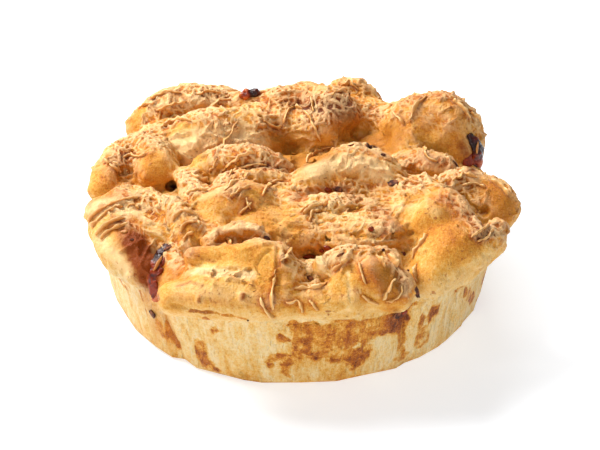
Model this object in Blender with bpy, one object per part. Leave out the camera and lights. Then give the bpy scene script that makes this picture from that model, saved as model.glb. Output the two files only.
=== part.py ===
"""A round pull-apart loaf with grated cheese, baked in a tin and turned out.

Blender 4.5. Run with: blender --background --python part.py
Metres, +Z up. The origin is the centre of the flat underside, and -Y is the side that the eye meets first.

The loaf is one solid. Its lower half has the form of the tin, and its top is a heap of dough rolls that
ran together in the oven and bulge out over the rim. The rolls are tubes with round ends, melted into one
skin by a voxel remesh, and the melted strands of grated cheese are joined to that skin as relief. Three
pieces of the red filling stick out of the seams, and each is a solid of its own in a socket cut for it.
"""
import math
import random

import bmesh
import bpy
import numpy as np
from mathutils import Vector, noise
from mathutils.bvhtree import BVHTree

MM = 0.001

# The tin that shaped the lower half
FOOT_RADIUS = 97 * MM
RIM_RADIUS = 103 * MM
RIM_HEIGHT = 42 * MM
CORE_HEIGHT = 50 * MM
FOOT_ROUNDING = 1.2 * MM
FOOT_TURNS = (0.3, 0.8, 1.2)
SHOULDER_DROP = 3 * MM
SHOULDER_INSET = 12 * MM
CORE_X = 1 * MM
CORE_Y = -1.8 * MM
TURNS_AROUND = 160
WALL_RINGS = 16

# Where the dough pieces meet on the wall: bearing in degrees, depth and half width in millimetres, and
# how far the seam leans, in degrees from its foot to the rim
WALL_SEAMS = (
    (-124, 2.6, 3.0, -8), (-104, 1.0, 1.6, 3), (-57.5, 2.0, 2.6, -3), (-29, 1.6, 2.6, 4),
    (4, 2.2, 3.0, -6), (38, 1.8, 2.6, 5), (74, 2.4, 3.0, -4), (108, 1.8, 2.6, 6),
    (141, 2.2, 3.0, -5), (176, 2.0, 2.8, 6), (-155, 2.0, 28, 0),
)

# The dough rolls of the top, each a path of points (x, y, z, radius) in millimetres
ROLLS = {
    "front_left": ((-54, -99, 49, 8.5), (-42, -101, 51, 9.5), (-26, -103, 51, 10), (-12, -104, 50, 9)),
    "front_fold": (
        (-45, -81, 60, 5.5), (-32, -82, 61, 6), (-19, -84, 62, 7.5),
        (-10, -85, 60, 9), (-5, -94, 54, 9.5), (-5, -105, 49, 7),
    ),
    "front_lip": ((-41, -71, 62, 3), (-32, -66, 64, 4), (-20, -66, 64, 4), (-12, -69, 62, 3)),
    "front_stretch": ((-43, -81, 52, 7), (-29, -83, 52, 7), (-18, -85, 52, 7)),
    "front_right_low": ((4, -101, 49, 8), (14, -102, 49, 8.5), (25, -101, 50, 9)),
    "front_right": ((25, -96, 54, 10), (36, -94, 54, 14), (45, -96, 52, 11)),
    "front_right_crest": ((13, -89, 61, 5), (23, -87, 62, 6.5), (35, -85, 62, 7), (44, -87, 60, 6)),
    "front_hollow_floor": ((3, -85, 50, 8), (12, -84, 52, 8)),
    "right_front": ((62, -82, 48, 10), (72, -68, 51, 16), (82, -63, 53, 14), (93, -60, 54, 8)),
    "right_front_inner": ((58, -47, 58, 8), (66, -52, 59, 13), (72, -47, 62, 10)),
    "right_twist": ((63, -42, 64, 5), (72, -43, 65, 7), (79, -52, 63, 7), (82, -60, 59, 5)),
    "right_rim": ((82, -66, 56, 6), (91, -60, 56, 7), (97, -50, 56, 6)),
    "right_knot": ((99, -27, 54, 12.5), (94, -21, 56, 12.5), (85, -17, 59, 11), (75, -20, 60, 8)),
    "back_right_dome": ((68, 45, 60, 19), (78.5, 45, 58, 21.5), (83, 41, 52, 19.5)),
    "dome_shoulder": ((58, 59, 56, 12), (60, 35, 58, 12), (58, 23, 57, 9)),
    "dome_front": ((57, 9, 58, 8), (67, 7, 59, 9), (77, 4, 58, 8)),
    "back_knob": ((28, 84, 62, 10), (34.5, 84, 60.5, 11), (40, 79, 56, 10)),
    "back_bridge": ((31, 69, 54, 12), (45, 66, 53, 13), (56, 59, 54, 12)),
    "back_bridge_face": ((28, 68, 45, 12), (43, 66, 44, 13), (56, 60, 46, 12)),
    "back_centre": ((-7, 68, 62, 11.5), (6, 70, 62, 12.5), (19, 63, 62, 13.5), (25, 55, 60, 10)),
    "back_centre_face": ((-7, 53, 56, 12), (3, 52, 53, 14), (14, 51, 56, 13)),
    "back_join": ((-26, 57, 62, 6), (-16, 60, 62, 6), (-5, 56, 62, 6)),
    "back_gap": ((-30, 73, 59, 9), (-14, 73, 60, 9)),
    "back_left": ((-83, 68, 49, 10), (-69, 77, 54, 13.5), (-54, 79, 57, 12.5), (-38, 79, 59, 10)),
    "second_left": ((-52, 40, 58, 13), (-37, 42, 60, 14), (-21, 44, 59, 12)),
    "back_left_join": ((-78, 36, 53, 10), (-65, 39, 54, 12), (-54, 30, 55, 11)),
    "left_outer": ((-99, 2, 48, 7), (-94, 18, 50, 11), (-88, 27, 53, 10), (-79, 31, 56, 8)),
    "left_ball": ((-72, 20, 57, 11), (-71, 8, 56, 11.5)),
    "left_peg": ((-60, 2, 56, 3.5), (-55, 5, 57, 3.5)),
    "left_front": ((-91, -32, 54, 9), (-86, -44, 50, 12.5), (-78, -56, 46, 13.5), (-71, -67, 44, 9)),
    "left_front_top": ((-93, -35, 57, 8.5), (-82, -32, 59, 10), (-70, -35, 59, 8)),
    "left_front_roll": ((-71, -29, 60, 6), (-60, -40, 60, 8), (-52, -52, 58, 8), (-49, -61, 55, 7)),
    "left_seam_wall": ((-60, -50, 50, 8), (-56, -63, 46, 9), (-53, -74, 44, 8)),
    "centre_left_ridge": ((-45, -1, 63, 7), (-35, -1, 66, 9), (-19, -5, 67, 9), (-7, -7, 64, 7)),
    "centre_left_fold": ((-35, -24, 64, 6), (-23, -21, 66, 6), (-7, -17, 64, 5)),
    "centre_left_knob": ((-40, -37, 60, 9), (-30, -38, 63, 10), (-19, -37, 63, 10)),
    "centre_left_inner": ((-53, -5, 59, 7), (-49, -24, 60, 8), (-43, -40, 58, 8), (-38, -49, 56, 7)),
    "centre_left_bed": ((-40, -2, 56, 9), (-27, -12, 56, 10)),
    "centre_back_bed": ((-42, 32, 54, 9), (-26, 34, 54, 10), (-13, 38, 52, 9)),
    "centre_ridge": (
        (1, -27, 59, 6), (8, -17, 63, 9), (21, -10, 66, 11),
        (36, -9, 66, 12), (48, -14, 63, 9), (54, -19, 60, 5),
    ),
    "centre_front": ((3, -45, 57, 8), (13, -41, 60, 8), (25, -39, 60, 7), (39, -41, 60, 7)),
    "centre_front_low": ((19, -58, 56, 9), (33, -62, 57, 10), (44, -61, 59, 8)),
    "centre_valley": ((-11, -13, 55, 11), (-4, -35, 54, 13), (5, -56, 53, 11)),
    "centre_valley_front": ((-19, -50, 54, 11), (-4, -55, 53, 11)),
    "lip_bed": ((-38, -58, 53, 8), (-22, -62, 54, 8), (-8, -64, 53, 7)),
    "left_front_bed": ((-78, -44, 51, 12), (-64, -50, 51, 10)),
    "seam_bed": ((48, -56, 51, 8), (52, -66, 48, 8)),
    "right_inner": ((42, -27, 57, 7), (52, -24, 60, 8), (65, -21, 61, 8)),
    "middle": ((12, 16, 47, 12), (32, 16, 47, 14), (47, 20, 46, 13)),
    "middle_back": ((28, 38, 43, 12), (44, 43, 45, 12)),
    "middle_left": ((-30, 12, 48, 11), (-14, 14, 47, 12), (2, 26, 45, 11)),
    "back_rim_left": ((-62, 62, 42, 12), (-46, 76, 42, 13), (-28, 86, 42, 14)),
    "back_rim": ((-18, 88, 43, 13), (0, 90, 43, 15), (24, 88, 43, 14)),
    "back_rim_right": ((38, 85, 43, 13), (55, 76, 43, 13), (70, 66, 43, 12)),
    "left_back_rim": ((-76, 53, 45, 12), (-84, 43, 45, 12)),
    "right_back_rim": ((92, 14, 42, 9), (92, 0, 43, 9)),
}
PATH_STEPS = 5
TUBE_SIDES = 20
CAP_RINGS = 4

# How the rolls melt into one skin
MELT_VOXEL = 1.2 * MM
MELT_PASSES = 14

# How unevenly the dough rose: height and length of its slow swells and of its folds. The folds fade out
# on the wall, which the tin kept smooth
SWELL_HEIGHT = 1.6 * MM
SWELL_LENGTH = 21 * MM
FOLD_HEIGHT = 1.0 * MM
FOLD_LENGTH = 7.5 * MM
WALL_SWELL = 0.3
FOLDS_START = 38 * MM
FOLDS_FULL = 50 * MM

# Holes and hollows (x, y, z, radius, depth) in millimetres
DIMPLES = {
    "front_hole": (7, -68, 53, 5, 7),
    "small_hole": (16, -65, 59, 2.4, 3),
    "left_hole": (-62, 0, 50, 4, 5),
    "back_pit": (43, 46, 50, 3.5, 3),
    "inner_slot": (41, -47, 61, 2.8, 2.5),
    "seam_slot": (53, -50, 53, 3.2, 3),
    "right_hollow": (91, -37, 57, 6, 5),
    "lip_hollow": (-26, -75, 62, 6, 2.5),
    "lip_end": (-9, -66, 60, 3.5, 3.5),
    "front_hollow": (8, -90, 58, 7, 3.5),
    "left_groove": (-87, 9, 53, 6, 3.5),
    "seam_pit": (52, -61, 50, 3.5, 3),
}

# The tin's floor presses flat what lies below this height
FLAT_BELOW = 0.8 * MM
SKIN_TRIANGLES = 5200

# Melted strands of grated cheese: start, middle and end (x, y, z) in millimetres, near the skin
STRANDS = (
    ((-36, 24, 63), (-35, 30, 66), (-30, 35, 71)), ((-10, -93, 65), (-8, -105, 58), (-7, -112, 49)),
    ((0, -103, 57), (6, -103, 57), (14, -97, 56)), ((27, -94, 65), (28, -102, 63), (31, -105, 59)),
    ((38, -107, 53), (42, -105, 59), (47, -101, 61)), ((30, -106, 56), (34, -107, 53), (39, -106, 50)),
    ((-4, -108, 55), (0, -108, 53), (3, -109, 49)), ((6, -107, 54), (8, -109, 52), (11, -110, 50)),
    ((-15, -110, 57), (-12, -112, 53), (-9, -112, 47)), ((20, -97, 62), (23, -95, 64), (26, -92, 66)),
    ((57, -79, 56), (58, -67, 57), (61, -63, 62)), ((-6, 44, 64), (-2, 55, 67), (7, 52, 67)),
    ((8, 51, 67), (11, 44, 65), (14, 39, 58)), ((10, 60, 73), (10, 56, 70), (10, 49, 68)),
    ((-97, -42, 58), (-89, -39, 65), (-78, -38, 67)), ((-96, -48, 55), (-89, -45, 62), (-74, -42, 62)),
    ((-95, -53, 52), (-87, -52, 60), (-77, -49, 60)), ((-68, -36, 67), (-63, -40, 67), (-58, -47, 67)),
    ((-58, -54, 64), (-55, -50, 66), (-49, -50, 65)), ((-56, -59, 62), (-52, -55, 65), (-46, -55, 63)),
    ((-96, 8, 57), (-92, 5, 54), (-89, -1, 54)), ((-41, -9, 65), (-36, -7, 72), (-27, -6, 75)),
    ((-33, -16, 70), (-27, -12, 71), (-16, -10, 73)), ((-26, -20, 70), (-19, -17, 70), (-9, -15, 69)),
    ((-33, -34, 72), (-28, -27, 69), (-20, -26, 69)), ((-32, -45, 70), (-26, -41, 72), (-18, -39, 72)),
    ((-15, -32, 70), (-12, -24, 66), (-4, -20, 66)), ((18, -13, 76), (28, -9, 78), (40, -11, 77)),
    ((13, -18, 73), (25, -14, 76), (38, -16, 75)), ((5, -50, 63), (10, -47, 66), (17, -44, 66)),
    ((11, -61, 59), (17, -57, 64), (24, -50, 61)), ((25, -88, 68), (32, -82, 68), (39, -87, 68)),
    ((45, -92, 64), (47, -98, 62), (46, -104, 59)), ((69, -53, 71), (74, -56, 69), (78, -64, 67)),
    ((61, 40, 74), (57, 29, 68), (55, 18, 63)), ((71, 49, 77), (63, 38, 74), (61, 30, 69)),
    ((93, 39, 74), (98, 37, 67), (100, 35, 60)), ((-79, 76, 63), (-68, 76, 68), (-56, 76, 69)),
    ((-73, 64, 57), (-63, 66, 62), (-51, 70, 66)), ((96, -23, 68), (102, -28, 65), (105, -32, 61)),
    ((78, -23, 67), (84, -21, 69), (90, -24, 68)),
)
SCATTERED_STRANDS = 26
SCATTER_SEED = 11
SCATTER_RADIUS = 92 * MM
SCATTER_FROM = 200 * MM
SCATTER_APART = 13 * MM
SCATTER_LEVEL = 0.6
STRAND_LENGTH = 13 * MM
STRAND_RADIUS = 1.4 * MM
STRAND_RINGS = 5
STRAND_SIDES = 4
STRAND_LIFT = 0.7 * MM
EVENING_PASSES = 3
BAR_END = 0.25
BAR_TIP = 0.3

# Pieces of the red filling in the seams: points (x, y, z) in millimetres near the skin, then width and
# thickness in millimetres. Each lies half sunk in a socket with a little room all round
FILLING = {
    "filling_left_front": (
        ((-60, -62, 55), (-63, -67, 51), (-65, -72, 47), (-64, -77, 41), (-65, -77, 34)), 6.5, 4.5,
    ),
    "filling_right_back": (((94, 29, 66), (97, 27, 59), (97, 25, 52), (95, 22, 46)), 9, 5),
    "filling_back": (((-29, 71, 66), (-24, 72, 67), (-19, 72, 67)), 6, 6),
}
SOCKET_ROOM = 0.35 * MM
SLIVER = 0.02 * MM
FILLING_RINGS = 9
FILLING_SIDES = 10

DOUGH_COLOUR = (0.74, 0.46, 0.17, 1)
FILLING_COLOUR = (0.32, 0.035, 0.012, 1)
DOUGH_ROUGHNESS = 0.62
FILLING_ROUGHNESS = 0.22


def spline(points):
    """Catmull-Rom curve through rows of (x, y, z, radius)."""
    rows = [np.array(p, float) for p in points]
    rows = [2 * rows[0] - rows[1], *rows, 2 * rows[-1] - rows[-2]]
    curve = []
    for a, b, c, d in zip(rows, rows[1:], rows[2:], rows[3:]):
        for step in range(PATH_STEPS):
            t = step / PATH_STEPS
            bend = (2 * a - 5 * b + 4 * c - d) * t * t + (3 * b - 3 * c + d - a) * t**3
            curve.append(0.5 * (2 * b + (c - a) * t + bend))
    return np.array([*curve, rows[-2]])


def add_roll(mesh, points):
    """A tube of dough with round ends, along the curve through the points."""
    path = spline(points) * MM
    centre, radius = path[:, :3], path[:, 3]
    along = np.gradient(centre, axis=0)
    along /= np.linalg.norm(along, axis=1)[:, None]
    turns = [math.pi / 2 * k / CAP_RINGS for k in range(1, CAP_RINGS)]
    start = []
    end = []
    for turn in turns:
        out, size = math.sin(turn), math.cos(turn)
        start.append((centre[0] - along[0] * radius[0] * out, radius[0] * size, along[0]))
        end.append((centre[-1] + along[-1] * radius[-1] * out, radius[-1] * size, along[-1]))
    rings = []
    for middle, size, ahead in [*reversed(start), *zip(centre, radius, along), *end]:
        side = np.cross(ahead, (0, 0, 1))
        side /= np.linalg.norm(side)
        lift = np.cross(side, ahead)
        angles = [2 * math.pi * k / TUBE_SIDES for k in range(TUBE_SIDES)]
        outward = [side * math.cos(a) + lift * math.sin(a) for a in angles]
        rings.append([mesh.verts.new(middle + size * direction) for direction in outward])
    close_rings(mesh, rings, centre[0] - along[0] * radius[0], centre[-1] + along[-1] * radius[-1])


def close_rings(mesh, rings, first, last):
    """Faces between rings of vertices, closed by a point at each end."""
    tip, tail = mesh.verts.new(first), mesh.verts.new(last)
    count = len(rings[0])
    for i in range(count):
        j = (i + 1) % count
        mesh.faces.new((tip, rings[0][j], rings[0][i]))
        mesh.faces.new((tail, rings[-1][i], rings[-1][j]))
        for near, far in zip(rings, rings[1:]):
            mesh.faces.new((near[i], near[j], far[j], far[i]))


def wall_radius(bearing, height):
    """The tin's wall at a bearing in radians, drawn in where two pieces of dough meet."""
    share = height / RIM_HEIGHT
    radius = FOOT_RADIUS + (RIM_RADIUS - FOOT_RADIUS) * min(share, 1)
    for seam, depth, half_width, lean in WALL_SEAMS:
        gap = bearing - math.radians(seam + lean * share)
        gap = (gap + math.pi) % (2 * math.pi) - math.pi
        across = gap * radius / (half_width * MM)
        radius -= depth * MM * math.exp(-across * across)
    return radius


def add_core(mesh):
    """The lower half, with the form of the tin and a rounded foot."""
    angles = [2 * math.pi * k / TURNS_AROUND for k in range(TURNS_AROUND)]
    levels = [(0, FOOT_ROUNDING)]
    levels += [(FOOT_ROUNDING * (1 - math.cos(t)), FOOT_ROUNDING * (1 - math.sin(t))) for t in FOOT_TURNS]
    wall_height = RIM_HEIGHT - FOOT_ROUNDING
    levels += [(FOOT_ROUNDING + wall_height * k / WALL_RINGS, 0) for k in range(WALL_RINGS + 1)]
    levels += [(CORE_HEIGHT - SHOULDER_DROP, SHOULDER_DROP), (CORE_HEIGHT, SHOULDER_INSET)]
    rings = []
    for height, inset in levels:
        radii = [wall_radius(a, height) - inset for a in angles]
        places = [(CORE_X + r * math.cos(a), CORE_Y + r * math.sin(a), height) for r, a in zip(radii, angles)]
        rings.append([mesh.verts.new(place) for place in places])
    close_rings(mesh, rings, (CORE_X, CORE_Y, 0), (CORE_X, CORE_Y, CORE_HEIGHT))


def new_object(name, mesh_data, collection=None):
    made = bpy.data.objects.new(name, mesh_data)
    (collection or bpy.context.scene.collection).objects.link(made)
    return made


def from_bmesh(name, mesh, collection=None):
    """A new object from a bmesh whose faces are turned outwards."""
    bmesh.ops.recalc_face_normals(mesh, faces=mesh.faces)
    data = bpy.data.meshes.new(name)
    mesh.to_mesh(data)
    mesh.free()
    return new_object(name, data, collection)


def apply_modifiers(obj):
    """Turns what the modifiers make into the object's own mesh."""
    graph = bpy.context.evaluated_depsgraph_get()
    done = bpy.data.meshes.new_from_object(obj.evaluated_get(graph))
    obj.modifiers.clear()
    obj.data = done


def new_collection(name):
    made = bpy.data.collections.new(name)
    bpy.context.scene.collection.children.link(made)
    return made


def apply_boolean(obj, collection, operation, solver):
    """Adds the collection's objects to the object, or cuts them from it, and removes them."""
    boolean = obj.modifiers.new(operation, "BOOLEAN")
    boolean.operation = operation
    boolean.operand_type = "COLLECTION"
    boolean.collection = collection
    boolean.solver = solver
    apply_modifiers(obj)
    for used in list(collection.objects):
        bpy.data.objects.remove(used)
    bpy.data.collections.remove(collection)


def melted_dough(name):
    """Core and rolls run together, with soft creases where they meet."""
    mesh = bmesh.new()
    add_core(mesh)
    for points in ROLLS.values():
        add_roll(mesh, points)
    loaf = from_bmesh(name, mesh)
    melt = loaf.modifiers.new("melt", "REMESH")
    melt.mode = "VOXEL"
    melt.voxel_size = MELT_VOXEL
    soften = loaf.modifiers.new("soften", "SMOOTH")
    soften.factor = 0.5
    soften.iterations = MELT_PASSES
    apply_modifiers(loaf)
    return loaf


def raise_unevenly(loaf):
    """Swells and folds of the risen dough, moved along the normals, and then its holes and hollows."""
    points = np.array([v.co for v in loaf.data.vertices])
    normals = np.array([v.normal for v in loaf.data.vertices])
    swell = np.array([noise.noise(Vector(p / SWELL_LENGTH)) for p in points])
    fold = np.array([noise.noise(Vector(p / FOLD_LENGTH)) for p in points])
    top = np.clip((points[:, 2] - FOLDS_START) / (FOLDS_FULL - FOLDS_START), 0, 1)
    shift = SWELL_HEIGHT * swell * (WALL_SWELL + (1 - WALL_SWELL) * top) + FOLD_HEIGHT * fold * top
    for x, y, z, radius, depth in DIMPLES.values():
        away = np.linalg.norm(points - np.array((x, y, z)) * MM, axis=1) / (radius * MM)
        shift -= depth * MM * np.clip(1 - away * away, 0, 1)
    points += normals * shift[:, None]
    loaf.data.vertices.foreach_set("co", points.ravel())
    press_flat(loaf)


def press_flat(loaf):
    """The tin's floor kept the underside level."""
    for vertex in loaf.data.vertices:
        if vertex.co.z < FLAT_BELOW:
            vertex.co.z = 0
    loaf.data.update()


def thin_out(loaf):
    """Keeps the skin's form with far fewer triangles."""
    fewer = loaf.modifiers.new("fewer", "DECIMATE")
    fewer.ratio = SKIN_TRIANGLES / (2 * len(loaf.data.polygons))
    apply_modifiers(loaf)
    press_flat(loaf)


def skin_tree(loaf):
    loaf.data.calc_loop_triangles()
    corners = [t.vertices[:] for t in loaf.data.loop_triangles]
    return BVHTree.FromPolygons([v.co for v in loaf.data.vertices], corners)


def along_skin(tree, points, count):
    """Evenly spaced places on the skin, along the curve through the points: (place, normal, tangent)."""
    path = spline([(*p, 0) for p in points])[:, :3] * MM
    picks = np.linspace(0, len(path) - 1, count)
    smooth = np.array([[np.interp(k, range(len(path)), path[:, axis]) for axis in range(3)] for k in picks])
    found = [tree.find_nearest(Vector(p))[:2] for p in smooth]
    places = evened(np.array([place for place, _ in found]))
    normals = evened(np.array([normal for _, normal in found]))
    ahead = np.gradient(places, axis=0)
    return [(p, n / np.linalg.norm(n), a / np.linalg.norm(a)) for p, n, a in zip(places, normals, ahead)]


def evened(rows):
    """The rows with each inner one drawn towards its neighbours."""
    for _ in range(EVENING_PASSES):
        rows[1:-1] = rows[1:-1] / 2 + (rows[:-2] + rows[2:]) / 4
    return rows


def add_bar(name, course, section, lift=0, room=0, collection=None):
    """A bar along a course on the skin. Its oval section (half width, half thickness, sides) narrows at
    both ends, and room widens it all round."""
    half_width, half_thickness, sides = section
    mesh = bmesh.new()
    rings = []
    last = len(course) - 1
    for k, (place, normal, ahead) in enumerate(course):
        size = max(1 - abs(2 * k / last - 1) ** 3, BAR_END) ** 0.5
        side = np.cross(ahead, normal)
        side *= (half_width * size + room) / np.linalg.norm(side)
        up = normal * (half_thickness * size + room)
        turns = [2 * math.pi * (step + 0.5) / sides for step in range(sides)]
        middle = place + normal * lift
        rings.append([mesh.verts.new(middle + side * math.cos(t) + up * math.sin(t)) for t in turns])
    reach = half_thickness * BAR_TIP + room
    (first, first_normal, first_ahead), (final, final_normal, final_ahead) = course[0], course[-1]
    tip = first + first_normal * lift - first_ahead * reach
    tail = final + final_normal * lift + final_ahead * reach
    close_rings(mesh, rings, tip, tail)
    return from_bmesh(name, mesh, collection)


def scattered_strands(tree):
    """Courses of the other strands: spread over the top by a seeded draw, none near another."""
    draw = random.Random(SCATTER_SEED)
    taken = [Vector(p) * MM for strand in STRANDS for p in strand]
    courses = []
    while len(courses) < SCATTERED_STRANDS:
        radius = SCATTER_RADIUS * math.sqrt(draw.random())
        bearing = draw.uniform(0, 2 * math.pi)
        heading = draw.uniform(0, math.pi)
        above = Vector((radius * math.cos(bearing), radius * math.sin(bearing), SCATTER_FROM))
        place, normal = tree.ray_cast(above, Vector((0, 0, -1)))[:2]
        if normal.z < SCATTER_LEVEL or any((place - other).length < SCATTER_APART for other in taken):
            continue
        way = Vector((math.cos(heading), math.sin(heading), 0)) * STRAND_LENGTH / 2
        ends = (place - way) / MM, place / MM, (place + way) / MM
        courses.append(along_skin(tree, ends, STRAND_RINGS))
        taken.append(place)
    return courses


def join_strands(loaf, tree):
    """Melts the strands of cheese onto the loaf, as relief of the same solid."""
    cheese = new_collection("cheese")
    courses = [along_skin(tree, strand, STRAND_RINGS) for strand in STRANDS] + scattered_strands(tree)
    section = STRAND_RADIUS, STRAND_RADIUS, STRAND_SIDES
    for k, course in enumerate(courses):
        add_bar(f"strand_{k}", course, section, lift=STRAND_LIFT, collection=cheese)
    apply_boolean(loaf, cheese, "UNION", "MANIFOLD")


def drop_scraps(obj):
    """Keeps only the object's largest connected skin: fills pockets sealed inside it, drops loose bits."""
    mesh = bmesh.new()
    mesh.from_mesh(obj.data)
    left = set(mesh.verts)
    bodies = []
    while left:
        body = set()
        front = [left.pop()]
        while front:
            vert = front.pop()
            body.add(vert)
            near = {edge.other_vert(vert) for edge in vert.link_edges} & left
            left -= near
            front.extend(near)
        bodies.append(body)
    bodies.sort(key=len)
    for body in bodies[:-1]:
        bmesh.ops.delete(mesh, geom=list(body), context="VERTS")
    mesh.to_mesh(obj.data)
    mesh.free()


def drop_slivers(obj):
    """Closes up the edges and faces, thinner than a hair, that the Booleans leave."""
    mesh = bmesh.new()
    mesh.from_mesh(obj.data)
    bmesh.ops.dissolve_degenerate(mesh, dist=SLIVER, edges=mesh.edges[:])
    bmesh.ops.triangulate(mesh, faces=mesh.faces[:])
    mesh.to_mesh(obj.data)
    mesh.free()


def material(name, colour, roughness):
    made = bpy.data.materials.new(name)
    made.use_nodes = True
    surface = made.node_tree.nodes["Principled BSDF"]
    surface.inputs["Base Color"].default_value = colour
    surface.inputs["Roughness"].default_value = roughness
    surface.inputs["Metallic"].default_value = 0
    return made


def set_filling(loaf, tree):
    """The pieces of filling, each in a socket that the loaf gets for it."""
    red = material("filling", FILLING_COLOUR, FILLING_ROUGHNESS)
    sockets = new_collection("sockets")
    for name, (points, width, thickness) in FILLING.items():
        course = along_skin(tree, points, FILLING_RINGS)
        section = width / 2 * MM, thickness / 2 * MM, FILLING_SIDES
        piece = add_bar(name, course, section)
        piece.data.materials.append(red)
        piece.data.shade_smooth()
        add_bar("socket_" + name, course, section, room=SOCKET_ROOM, collection=sockets)
    apply_boolean(loaf, sockets, "DIFFERENCE", "EXACT")


def main():
    for obj in list(bpy.data.objects):
        bpy.data.objects.remove(obj)
    loaf = melted_dough("bread")
    drop_scraps(loaf)
    raise_unevenly(loaf)
    thin_out(loaf)
    bare_skin = skin_tree(loaf)
    join_strands(loaf, bare_skin)
    set_filling(loaf, bare_skin)
    drop_scraps(loaf)
    drop_slivers(loaf)
    loaf.data.materials.clear()
    loaf.data.materials.append(material("dough", DOUGH_COLOUR, DOUGH_ROUGHNESS))
    loaf.data.shade_smooth()


main()
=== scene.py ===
# %% [markdown]
# # A pull-apart loaf, from dough to melted cheese
# The loaf was baked in a round tin and turned out: balls of dough, pressed together, ran into one heap,
# and grated cheese melted over it. The measured model of it is loaded first. It stays as it is and says
# how large everything must be. What follows puts a baked crust, cheese and filling in its place.

# %% Load the measured loaf
import math

import bmesh
import bpy
import numpy as np
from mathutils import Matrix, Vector, noise
from mathutils.bvhtree import BVHTree


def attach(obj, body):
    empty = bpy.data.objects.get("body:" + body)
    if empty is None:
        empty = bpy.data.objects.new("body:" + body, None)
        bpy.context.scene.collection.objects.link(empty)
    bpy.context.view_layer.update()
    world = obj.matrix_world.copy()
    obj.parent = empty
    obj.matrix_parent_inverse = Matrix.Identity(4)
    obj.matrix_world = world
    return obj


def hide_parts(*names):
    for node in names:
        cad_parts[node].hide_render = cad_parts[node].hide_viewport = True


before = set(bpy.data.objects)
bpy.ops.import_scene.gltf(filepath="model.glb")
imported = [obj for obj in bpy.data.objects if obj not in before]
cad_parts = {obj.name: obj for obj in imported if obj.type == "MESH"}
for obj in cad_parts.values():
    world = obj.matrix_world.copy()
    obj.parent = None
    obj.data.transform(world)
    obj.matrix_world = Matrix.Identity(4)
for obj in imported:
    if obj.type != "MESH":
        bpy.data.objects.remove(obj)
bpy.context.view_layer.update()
MM = 0.001

# %% [markdown]
# ## The camera comes first
# A long lens looks down at the loaf from the front. It is set before anything is made, because small marks
# such as a burnt fleck are placed by the pixel where they show: a ray goes through that pixel and stops at
# the crust, so that each mark truly sits on the dough and is right from any side.

# %% The camera
PICTURE_WIDTH, PICTURE_HEIGHT = 600, 450
CAMERA_HEIGHT_ANGLE = math.radians(33)
CAMERA_DISTANCE = 0.75
FOCAL_PIXELS = 1418
SENSOR = 36
AIM = Vector((0.0032, 0.0131, 0.0202))
EYE = CAMERA_DISTANCE * Vector((0, -math.cos(CAMERA_HEIGHT_ANGLE), math.sin(CAMERA_HEIGHT_ANGLE)))

lens = bpy.data.cameras.new("camera")
lens.lens = FOCAL_PIXELS / PICTURE_WIDTH * SENSOR
lens.sensor_width = SENSOR
lens.clip_start = 0.01
camera = bpy.data.objects.new("camera", lens)
camera.location = EYE
camera.rotation_euler = (AIM - EYE).to_track_quat("-Z", "Y").to_euler()
bpy.context.scene.collection.objects.link(camera)
bpy.context.scene.camera = camera

ahead = (AIM - EYE).normalized()
right = ahead.cross(Vector((0, 0, 1))).normalized()
above = right.cross(ahead)


def ray_through(px, py):
    """Direction from the eye through a pixel, counted from the picture's top left corner."""
    across, up = px - PICTURE_WIDTH / 2, PICTURE_HEIGHT / 2 - py
    return ahead + right * across / FOCAL_PIXELS + above * up / FOCAL_PIXELS


print("lens", round(lens.lens, 1), "mm")

# %% [markdown]
# ## Dough rolls that run together
# Each fold of dough on top is a soft roll that was pressed against its neighbours and rose into them. A roll
# is a tube with round ends along a curve, thick in some places and thin in others. The lower half has the
# form of the tin. Sculpting the heap by hand would work too, but named rolls can be moved one by one.

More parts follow.
